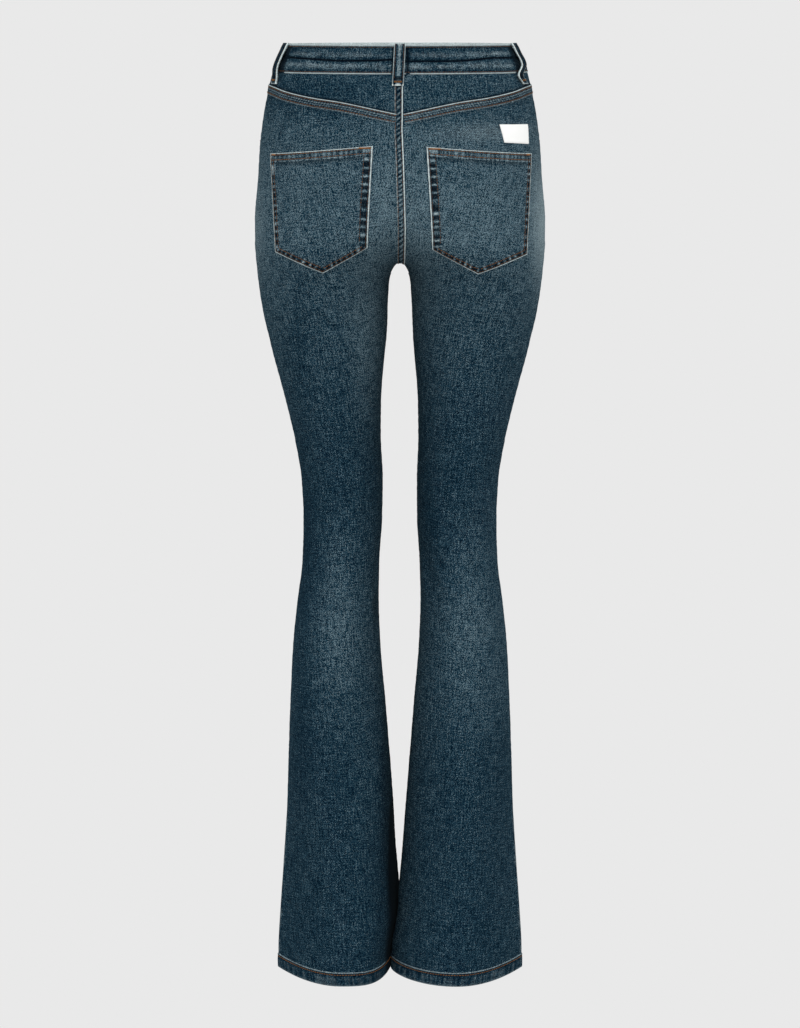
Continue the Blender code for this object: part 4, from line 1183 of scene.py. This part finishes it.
def loopObject(name, legName, forward, share, lean, sway, middle):
    heights, innerFace, outerFace = tableRows(beltLoop["face"])
    z = np.linspace(beltLoop["top"][forward], beltLoop["foot"], beltLoop["rowsDown"])
    base = bareSurface(legName, share, np.minimum(z, 0), forward)
    base[:, 2] = z
    n = unit(surfaceNormal(legName, share, -20, forward) * (1, 1, 0))
    side = np.cross((0, 0, 1), n)
    down = (z[0] - z) / (z[0] - z[-1])
    swayZ, slips, draws = np.array(sway, float).T
    slipped, drawn = smoothCurve(swayZ, slips, z) * legs[legName]["side"], smoothCurve(swayZ, draws, z)
    inner = np.maximum(smoothCurve(heights, innerFace, z) - drawn, beltLoop["least"])
    outer = smoothCurve(heights, outerFace, z) - drawn
    base = base + np.outer(lean * down, (1, 0, 0)) + np.outer(slipped, side)
    half = beltLoop["profile"]
    across, height, wear, amount = np.array(half + [(-row[0], *row[1:]) for row in half[-2::-1]]).T
    spread, up = np.abs(across), z[:, None]
    bumps = roping(-up, across[None, :], beltLoop["period"], beltLoop["slant"], beltLoop["seed"] + len(name))
    band = base[:, None] + side * across[None, :, None]
    outside = band + n * (outer[:, None] + height + beltLoop["height"] * amount * bumps)[..., None]
    inside = band + n * (inner[:, None] + 0 * across)[..., None]
    tips = sum(pale * np.exp(-((up - place) / half) ** 2) for place, half, pale in beltLoop["tips"])
    steep, reach, dark = beltLoop["darkMiddle"]
    # painted shadow down a deep middle
    edges = np.clip(-np.minimum(middle, 0) * steep * (1 - spread / reach), 0, 1)
    worn = wear * (1 - dark * edges) + beltLoop["wear"] * amount * bumps + tips - dark * edges
    edge, pale = beltLoop["paleEdge"]
    worn = np.where(spread > edge, worn + (pale if middle < 0 else 0), worn)
    # the fold at the foot is stitched down and shades itself
    place, half, dark = beltLoop["footFold"]
    foot = np.exp(-((up - place) / half) ** 4) * np.interp(spread, beltLoop["footEdge"], [1, 0])
    worn = worn * (1 - foot) - dark * foot
    fade = beltLoop["fade"] + middle * np.interp(spread, beltLoop["middleEdge"], [1, 0])
    fade = fade + beltLoop["tint"] * amount * bumps
    girth = across[None, :] + beltLoop["pieceShift"] + beltLoop["shiftStep"] * share
    uv = np.stack([girth * mm + 0 * up, up * mm + 0 * across], axis=-1)
    made = wallObject("belt_" + name, outside, inside, uv, {"fade": fade, "wear": worn}, denimCloth,
                      {"wear": np.zeros(fade.size)})
    sewn = z > beltLoop["sewnTo"]
    for k in beltLoop["rows"]:
        sewRow("loops", outside[sewn, k] + n * 0.1, np.broadcast_to(n, (sewn.sum(), 3)), beltLoop["tone"],
               pitch=beltLoop["pitch"], radius=beltLoop["thread"])
    row = beltLoop["tackRow"]
    sewTack("loops", base[row] + n * (outer[row] + beltLoop["tackOut"]), side, n, *beltLoop["tack"])
    return made


for row in loopTable:
    clothPieces[row[0]] = loopObject(*row)
print("waistband and loops ready")

# the first rows of a sewn pocket edge's profile: distance from the edge, height, wear (negative values are
# painted shade), roping
turning = [(0, -2, -0.2, 0), (0.3, -0.8, 0.75, 0.1), (0.65, -0.05, 0.95, 0.1)]
doubled = turning + [(1.05, 0, 0.9, 0.2), (1.5, -0.05, 0.1, 0.2)]
pocket = {
    "step": 1.1, "stand": 2.2, "thread": 0.5, "size": (104, 124),
    # share and height: top outer, top inner, low inner, point, low outer
    "corners": {
        "left": [(0.28, -124.4), (0.882, -112.9), (0.814, -227), (0.568, -256.6), (0.318, -235)],
        "right": [(0.258, -124.4), (0.885, -113.9), (0.815, -229), (0.561, -257.8), (0.3, -238)],
    },
    # the top band: the deep values beside its stitch rows and below its second row are painted shade, the last
    # a shadow under the band
    "top": [
        (0, -0.9, 0.6, 0), (0.3, 0, 0.85, 0.1), (0.8, 0.1, 0.5, 0.2), (1.3, -0.1, -0.3, 0.2),
        (2, -0.2, -0.6, 0.2), (2.9, 0.1, -0.3, 0.8), (4.6, 0.2, 0, 1), (6.6, 0.1, -0.1, 0.9),
        (7.6, -0.2, -0.6, 0.3), (8.5, 0, -0.2, 0.5), (9.2, 0.05, 0.36, 0.6), (9.9, -0.1, 0.2, 0.5),
        (10.8, -0.25, -0.6, 0.2), (12.5, -0.35, -0.45, 0), (15, -0.3, -0.12, 0), (18, -0.3, 0, 0),
    ],
    "inner": doubled + [
        (2, -0.1, -0.55, 0.3), (2.6, -0.2, -0.55, 0.4), (3.6, 0.1, -0.15, 1), (5.5, 0.15, 0, 1),
        (8.2, 0.1, -0.05, 1), (9.3, -0.3, -0.45, 0.4), (10.3, -0.1, 0.05, 0.4), (12.5, -0.3, 0, 0),
    ],
    "outer": [(0, -2, 0.3, 0)] + turning[1:] + [
        (1.5, 0, 0.8, 0.2), (2, -0.05, -0.1, 0.2), (2.6, -0.1, -0.55, 0.4), (3.3, -0.1, -0.55, 0.5),
        (4, 0.12, -0.15, 1), (5.8, 0.1, -0.02, 1), (7.2, -0.25, -0.4, 0.4), (8.2, -0.1, 0.08, 0.4),
        (10, -0.3, 0, 0),
    ],
    "side": doubled + [
        (2, -0.1, -0.55, 0.4), (2.6, -0.1, -0.55, 0.5), (3.3, 0.12, -0.15, 1), (5, 0.1, -0.02, 1),
        (6.4, -0.25, -0.4, 0.4), (7.4, -0.1, 0.08, 0.4), (9.5, -0.3, 0, 0),
    ],
    # the pale bars' spacing, how wide they are, how much they are rubbed, how dark it is between them, partly
    # painted shade
    "bars": {"top": (6.2, 0.3, 0.13, 0.5), "inner": (9.4, 0.2, 0.44, 0.8), "side": (7.6, 0.18, 0.5, 0.8),
             "outer": (8.2, 0.2, 0.34, 0.8)},
    # what the roping, the bars and the blocks between them add: height, paleness, and the roping's wear
    "raise": (0.06, 0.25, 0.15), "pale": (0.05, 1.05, 0.1), "ropeWear": 0.05, "seeds": (131, 151, 163),
    # the top band's boxed ends: their lengths, where they lie across it, wear and paleness
    "boxEnds": (5.5, 13), "boxAcross": [1.2, 2.6, 6.6, 7.6], "boxWear": 0.1, "boxPale": 0.46,
    # the dark block inside the inner one: place, half length, where it lies across the band, depth
    "post": (15.5, 2.6), "postAcross": [1.5, 2.5, 7.5, 9.5], "postDepth": 0.55,
    # the rim sinks into the cloth: distance from the edge and height
    "sunk": [(0, -2.1), (0.35, -0.6), (0.9, 0)],
    # the middle's soft waves: how many across, length down and height, and where the middle starts
    "soft": (0.5, 9, 26), "softLift": 0.4, "softFade": 0.05, "middle": (12, 20), "deeper": 0.03,
    "cutShift": (0.11, 0.03),
    "rope": {"top": (8.5, 0), "inner": (8.5, 0), "side": (7, 0.2), "outer": (7, 0.1)},
    # the rows of stitches: edge, distance from it, tone, where along the edge they start and stop
    "rows": [("top", 2, 0.38, 0.02, 0.98), ("top", 7.7, 0.36, 0.02, 0.98),
             ("inner", 2.5, 0.04, 0.01, 0.985), ("inner", 9.4, 0.08, 0.08, 0.93),
             ("outer", 3, 0.1, 0.01, 0.985), ("outer", 7.2, 0.12, 0.03, 0.92),
             ("low_inner", 2.5, 0.14, 0.02, 0.98), ("low_inner", 6.4, 0.3, 0.07, 0.93),
             ("low_outer", 2.5, 0.14, 0.02, 0.98), ("low_outer", 6.4, 0.3, 0.07, 0.93)],
}
edgeKinds = {"inner": "inner", "low_inner": "side", "low_outer": "side", "outer": "outer", "top": "top"}


def shareAt(legName, away, z):
    # the place on the back that lies this far from the centre plane, found by halving
    low, high = 0 * away, 0 * away + 1
    for step in range(22):
        middle = (low + high) / 2
        outside = np.abs(bareSurface(legName, middle, z, False)[..., 0]) > away
        low, high = np.where(outside, middle, low), np.where(outside, high, middle)
    return (low + high) / 2


def crowded(length):
    # places along a pocket, close together at both ends where its edges turn
    edge = np.array([0, 0.3, 0.65, 1.05, 1.5, 2, 2.6, 3.3, 4.2])
    middle = np.arange(5.2, length - 4.4, pocket["step"])
    return np.concatenate([edge, middle, (length - edge)[::-1]]) / length


def pocketEdges(corners):
    topOut, topIn, lowIn, point, lowOut = corners
    return {"top": (topOut, topIn), "inner": (topIn, lowIn), "low_inner": (lowIn, point),
            "low_outer": (point, lowOut), "outer": (lowOut, topOut)}


def pocketGrid(legName, corners):
    # shares and heights all over a pocket, in columns that pass through its point
    topOut, topIn, lowIn, point, lowOut = corners
    split = (point[0] - lowOut[0]) / (lowIn[0] - lowOut[0])
    u, v = (crowded(length) for length in pocket["size"])
    u[np.argmin(np.abs(u - split))] = split
    top = topOut + np.outer(u, topIn - topOut)
    low = np.stack([np.interp(u, (0, split, 1), (lowOut[i], point[i], lowIn[i])) for i in (0, 1)], axis=1)
    grid = top + (low - top) * v[:, None, None]
    return shareAt(legName, grid[..., 0], grid[..., 1]), grid[..., 1]


def edgeDistance(legName, flat, first, last):
    # how far each place lies from an edge, and where along the edge it is nearest
    away, z = (first + (last - first) * np.linspace(0, 1, 120)[:, None]).T
    line = bareSurface(legName, shareAt(legName, away, z), z, False)
    gap = np.linalg.norm(flat[:, :, None, :] - line[None, None, :, :], axis=-1)
    return gap.min(axis=2), pathRun(line)[gap.argmin(axis=2)]


def edgeFields(edge, away, run, left, order):
    # the height, wear and paleness that a sewn edge gives the cloth beside it
    kind = edgeKinds[edge]
    raised, worn, amount = profileAt(pocket[kind], away)
    period, slant = pocket["rope"][kind]
    bumps = roping(run, away, period, slant, pocket["seeds"][0] + order * 7 + left)
    spacing, wide, rub, deep = pocket["bars"][kind]
    bars, blocks = paleBars(run + slant * away, spacing, wide, pocket["seeds"][1] + order + 9 * left)
    rope, bar, block = pocket["raise"]
    raised = raised + amount * (rope * bumps + bar * bars - block * blocks)
    worn = worn + amount * (pocket["ropeWear"] * bumps + rub * bars - deep * blocks)
    rope, bar, block = pocket["pale"]
    pale = amount * (bar * bars - block * blocks + rope * bumps)
    if edge == "top":
        # the boxed ends are rubbed palest, a dark block crosses the band inside the inner one
        length, (first, last), (place, half) = run.max(), pocket["boxEnds"], pocket["post"]
        box = np.where(run < first, 1, 0) + np.where(run > length - last, 1, 0)
        boxed = box * np.interp(away, pocket["boxAcross"], [0, 1, 1, 0])
        worn = worn * (1 - boxed) + pocket["boxWear"] * boxed
        pale = pale * (1 - boxed) + pocket["boxPale"] * boxed
        post = np.exp(-(((run - length + place) / half) ** 4))
        post = post * np.interp(away, pocket["postAcross"], [0, 1, 1, 0])
        worn, pale = worn * (1 - post) - pocket["postDepth"] * post, pale * (1 - post)
    return raised, worn, pale


def sewPocket(legName, edge, away, tone, start, stop, ends, centre):
    first, last = ends[edge]
    path = first + (last - first) * np.linspace(start, stop, 90)[:, None]
    towards = (path[:, 0].mean() - centre[0], centre[1] - path[:, 1].mean())
    share, z = stripGrid(legName, False, shareAt(legName, *path.T), path[:, 1], np.array([away]), towards)
    spot = (legName, share[:, 0], z[:, 0], False)
    at = clothPoint(*spot, np.full(len(path), pocket["stand"] - 0.02))
    sewRow("pocket_" + legName, at, surfaceNormal(*spot), tone, radius=pocket["thread"])


def pocketObject(legName):
    # the corners, in distance from the centre and height: its edges look straight from behind
    corners = np.array(pocket["corners"][legName], float)
    corners[:, 0] = np.abs(bareSurface(legName, *corners.T, False)[..., 0])
    share, z = pocketGrid(legName, corners)
    spot, left = (legName, share, z, False), legName == "left"
    flat, ends = bareSurface(*spot), pocketEdges(corners)
    distances = {edge: edgeDistance(legName, flat, *ends[edge]) for edge in edgeKinds}
    rim = np.minimum.reduce([distances[edge][0] for edge in edgeKinds if edge != "top"])
    fields = [np.full(share.shape, start) for start in (-0.3, 0, 0)]
    nearest = np.full(share.shape, 1e9)
    for order, edge in enumerate(edgeKinds):
        away, run = distances[edge]
        reach = pocket[edgeKinds[edge]][-1][0]
        use = (away < reach) & (away < nearest)
        if edge == "top":
            use = ((away < 10.4) & (rim > 1.5)) | ((away < reach - 0.5) & (rim > 11))
        made = edgeFields(edge, away, run, left, order)
        fields = [np.where(use, new, old) for new, old in zip(made, fields)]
        nearest = np.minimum(nearest, np.where(away < reach, away, nearest))
    height, wear, bright = fields
    place, sunk = np.array(pocket["sunk"]).T
    height = np.where(rim < place[-1], np.minimum(height, np.interp(rim, place, sunk)), height)
    strength, across, down = pocket["soft"]
    soft = strength * latticeNoise(share * across, z / down, pocket["seeds"][2] + left)
    start, reach = pocket["middle"]
    field = np.clip((rim - start) / reach, 0, 1)
    points = clothPoint(*spot, pocket["stand"] + height + pocket["softLift"] * field * soft)
    fade = fadeAndLightAt(*spot) + pocket["softFade"] * field + pocket["softFade"] * soft - pocket["deeper"] + bright
    uv, fields = clothUv(*spot) + pocket["cutShift"], {"fade": fade, "wear": wear}
    made = shellObject("patch_pocket_" + legName, points, uv, fields, surfaceNormal(*spot))
    for row in pocket["rows"]:
        sewPocket(legName, *row, ends, corners.mean(axis=0))
    # boxed tacks at the opening's two ends
    topOut, topIn = corners[:2]
    for corner, direction, wide in ((topOut, 1, 7), (topIn, -1, 14)):
        away, height = corner + (topIn - topOut) * direction * (wide / 2 + 1) / 108 - (0, 1.6)
        place = shareAt(legName, np.array([away - 1, away, away + 1]), np.full(3, height))
        spot = (legName, place, np.full(3, height), False)
        at, n = clothPoint(*spot, np.full(3, pocket["stand"] + 0.25)), surfaceNormal(*spot)
        sewTack("pocket_" + legName, at[1], at[2] - at[0], n[1], wide, 1.5, 0.75)
    return made


for legName in legs:
    clothPieces["pocket_" + legName] = pocketObject(legName)

# the bare cloth label at the yoke: its corners' shares and heights, and how far it stands out
label = {"corners": [(0.26, -91), (0.498, -90), (0.478, -110.5), (0.276, -113.5)], "stand": 1.3}


def labelObject():
    topOut, topIn, lowIn, lowOut = np.array(label["corners"], float)
    u, v = np.linspace(0, 1, 41)[None, :, None], np.linspace(0, 1, 29)[:, None, None]
    grid = (topOut * (1 - u) + topIn * u) * (1 - v) + (lowOut * (1 - u) + lowIn * u) * v
    u, v = u[..., 0], v[..., 0]
    spot = ("right", grid[..., 0], grid[..., 1], False)
    edge = np.minimum(np.minimum(u, 1 - u) * 34, np.minimum(v, 1 - v) * 22)
    lift = label["stand"] + np.interp(edge, [0, 0.4, 1, 1.8, 3], [-1.1, -0.2, 0.05, -0.12, 0])
    points = clothPoint(*spot, lift + 0.1 * latticeNoise(u * 6, v * 4, 171))
    under = clothPoint(*spot, 0 * edge + 0.3)
    return wallObject("cloth_label", points, under, clothUv(*spot), {"wear": 0 * edge}, labelCloth)


clothPieces["label"] = labelObject()

# the front: pocket mouths, fly and centre seam
mouthBand = {
    "across": spaced((0, 3.2, 0.5), (3.2, 12, 0.8)), "ridges": roping,
    "period": 5.5, "slant": 0.3, "seed": 181, "height": 0.2, "wear": 0.35, "tint": 0.1, "thread": 0.42,
    # the deep values in the grooves are painted shade
    "profile": [
        (0, -1.3, -0.2, 0), (0.5, 0.3, 0.5, 0.1), (1.2, 0.8, 0.5, 0.3), (2.2, 0.55, -0.3, 0.3),
        (4.5, 0.75, 0, 1), (7.4, 0.7, 0, 0.9), (8.6, 0.4, -0.3, 0.3), (9.8, 0.5, 0.2, 0.6),
        (12, -0.12, 0, 0),
    ],
}
flyRows = [(38, -176), (32, -170)]  # how far the curved rows lie from the centre and how low they reach
mouthZ = np.concatenate([np.linspace(-34.5, -95, 60), -110 + 15 * (1 - np.linspace(0, 0.985, 60)) ** 1.6])
mouthZ = np.sort(mouthZ)[::-1]
for legName in legs:
    seamStrip("pocket_mouth_" + legName, legName, True, mouthShare(mouthZ) + 0.001, mouthZ, (1, 0),
              {**mouthBand, "seed": mouthBand["seed"] + (legName == "left")},
              rows=[("front_" + legName, 2.3, 0.5), ("front_" + legName, 8.6, 0.5)])


def sewFly(x, z, part=1, above=0.15):
    # a row on the fly, from its places without the lap
    points, normals = seatPoint(x, z, True)
    raised = fly["raise"] * ease(*fly["raiseFade"], z)
    sewRow("front_left", points + normals * (raised * part + above)[:, None], normals, 0.5)


def lapped(x, z):
    return x - fly["reach"] * ease(*fly["reachFade"], z)


# the curved rows that hold the fly's under-layers, the lapping edge's and the centre seam's
for inset, low in flyRows:
    z = np.linspace(-36, low, 120)
    bend = np.clip((z - (low + 60)) / -60, 0, 1)
    sewFly(lapped(inset * np.sqrt(np.clip(1 - bend ** 2.2, 0, 1)), z), z)
z = np.linspace(-36, -158, 90)
sewFly(lapped(2.2, z), z)
z = np.linspace(-182, -250, 50)
for place in (2, 8):
    sewFly(place, z, 0.3, 0.2)
points, normals = seatPoint(10, -172, True)
sewTack("front_left", points + normals * 2.3, (0.35, 0, -1), normals, 9, 1.8, 0.8)
print("pockets, label and front ready")

button = {"radius": 8.5, "thick": 2.9, "tilt": 10, "sides": 64, "bevel": 0.45,
          # steps of the face: how far each is inset and how far it is then moved out
          "steps": [(1.7, -0.55), (0.5, 0.25), (3, 0.25)]}


def buttonObject():
    bpy.ops.object.select_all(action="DESELECT")
    bpy.ops.mesh.primitive_cylinder_add(vertices=button["sides"], radius=button["radius"] * mm,
                                        depth=button["thick"] * mm)
    made = bpy.context.object
    made.name = "shank_button"
    bpy.ops.object.mode_set(mode="EDIT")
    bpy.ops.mesh.select_mode(type="FACE")
    bpy.ops.mesh.select_all(action="DESELECT")
    bpy.ops.object.mode_set(mode="OBJECT")
    for face in made.data.polygons:
        face.select = face.normal.z > 0.9
    bpy.ops.object.mode_set(mode="EDIT")
    for inset, moved in button["steps"]:
        bpy.ops.mesh.inset(thickness=inset * mm)
        bpy.ops.transform.translate(value=(0, 0, moved * mm))
    bpy.ops.object.mode_set(mode="OBJECT")
    bevel = made.modifiers.new("edges", "BEVEL")
    bevel.width, bevel.segments = button["bevel"] * mm, 3
    bevel.limit_method, bevel.angle_limit = "ANGLE", math.radians(25)
    bpy.ops.object.modifier_apply(modifier="edges")
    made.rotation_euler = (math.radians(90 - button["tilt"]), 0, 0)
    made.location = np.mean(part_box("button"), axis=0)
    bpy.ops.object.transform_apply(location=True, rotation=True, scale=True)
    bpy.ops.object.shade_smooth_by_angle(angle=math.radians(40))
    made.data.materials.clear()
    made.data.materials.append(agedBrass)
    return made


buttonPiece = buttonObject()
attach(buttonPiece, body)
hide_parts("button")

# what rides, what replaces the solids and what is cut from cloth
stitchPieces = {group: finishStitches(group) for group in stitchRuns}
print("stitches:", sum(len(tones) for runs in stitchRuns.values() for _, tones in runs))


def replacedBy(name):
    # the solids that a piece of cloth stands for
    if name.startswith("pocket"):
        return ["back_" + name]
    if name.startswith(("back", "front")):
        return [name + length for length in ("", "_knee", "_calf", "_flare")]
    return [name]


for piece in [*seamPieces.values(), *hemPieces.values(), *stitchPieces.values()]:
    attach(piece, body)
for name, piece in clothPieces.items():
    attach(piece, body)
    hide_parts(*replacedBy(name))

# the sheets' cuts without their seam and hem allowances: widths, length and areas in metres, left and right,
# then the seams and the rows of stitches that lie on them, and what they hang from or are sewn to
cuts = {
    "back": ((0.305, 0.305), 1.074, (0.245, 0.236), ["side_seam", "inseam", "yoke_seam"], ["yoke"], "yoke"),
    "front": ((0.286, 0.286), 1.139, (0.223, 0.228), ["side_seam_front", "inseam_front", "pocket_mouth"],
              ["front"], "waistband"),
    "yoke": ((0.21, 0.21), 0.045, (0.0057, 0.0057), [], [], "waistband"),
    "facing": ((0.093, 0.093), 0.097, (0.0065, 0.0065), [], [], "waistband"),
    "waistband": (0.845, 0.034),
    "pocket": ((0.11, 0.112), 0.14, (0.0132, 0.0134), [], ["pocket"], "back"),
    "label": (0.047, 0.0225), "loop": (0.013, 0.047), "hem": ((0.468, 0.466), 0.018),
}


def declareSides(kind):
    widths, length, areas, seams, rows, holder = cuts[kind]
    for legName, width, area in zip(legs, widths, areas):
        laid = [seamPieces[seam + "_" + legName] for seam in seams]
        sewn = [stitchPieces[row + "_" + legName] for row in rows]
        if (kind, legName) == ("back", "left"):
            # the seat seam lies on the left panel's edge
            laid, sewn = laid + [seamPieces["seat_seam"]], sewn + [stitchPieces["seat"]]


for kind in ("back", "front", "yoke", "facing"):
    declareSides(kind)
band = clothPieces["waistband"]
declareSides("pocket")

light = {"world": 0.815, "key": (1.6, 172, 50, 50), "fill": (0.5, 215, 20, 90), "floor": (3000, -1.45)}
view = {"distance": 3.6, "height": 0.05, "pitch": 9.528, "lens": 107.26, "sensor": 36, "clip": (0.05, 5000)}


def floorObject():
    size, height = light["floor"]
    bpy.ops.object.select_all(action="DESELECT")
    bpy.ops.mesh.primitive_plane_add(size=size, location=(0, 0, height))
    floor = bpy.context.object
    floor.name = "floor"
    made = newMaterial("paleFloor", Roughness=1, Base_Color=(0, 0, 0, 1), Specular_IOR_Level=0,
                       Emission_Color=(*[light["world"]] * 3, 1), Emission_Strength=1)[0]
    floor.data.materials.append(made)
    floor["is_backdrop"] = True


def studioWorld():
    world = bpy.data.worlds.new("studio")
    bpy.context.scene.world = world
    world.use_nodes = True
    world.node_tree.nodes["Background"].inputs["Color"].default_value = (*[light["world"]] * 3, 1)


def addSun(name, strength, azimuth, elevation, angle):
    # azimuth 180 shines from behind the wearer
    sun = bpy.data.lights.new(name, "SUN")
    sun.energy, sun.angle = strength, math.radians(angle)
    made = bpy.data.objects.new(name, sun)
    made.rotation_euler = (math.pi / 2 - math.radians(elevation), 0, math.radians(azimuth))
    bpy.context.scene.collection.objects.link(made)


def addCamera():
    lens = bpy.data.cameras.new("camera")
    lens.lens, lens.sensor_width = view["lens"], view["sensor"]
    lens.clip_start, lens.clip_end = view["clip"]
    camera = bpy.data.objects.new("camera", lens)
    camera.location = (0, view["distance"], view["height"])
    camera.rotation_euler = (math.radians(90 - view["pitch"]), 0, math.pi)
    bpy.context.scene.collection.objects.link(camera)
    bpy.context.scene.camera = camera
    bpy.context.scene.view_settings.view_transform = "Standard"


floorObject()
studioWorld()
addSun("keyLight", *light["key"])
addSun("fillLight", *light["fill"])
addCamera()
print("room, light and camera ready")

sizes = {"cad": [list(corner) for corner in cadBounds], "visual": [list(corner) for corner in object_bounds()]}
print("size:", sizes)
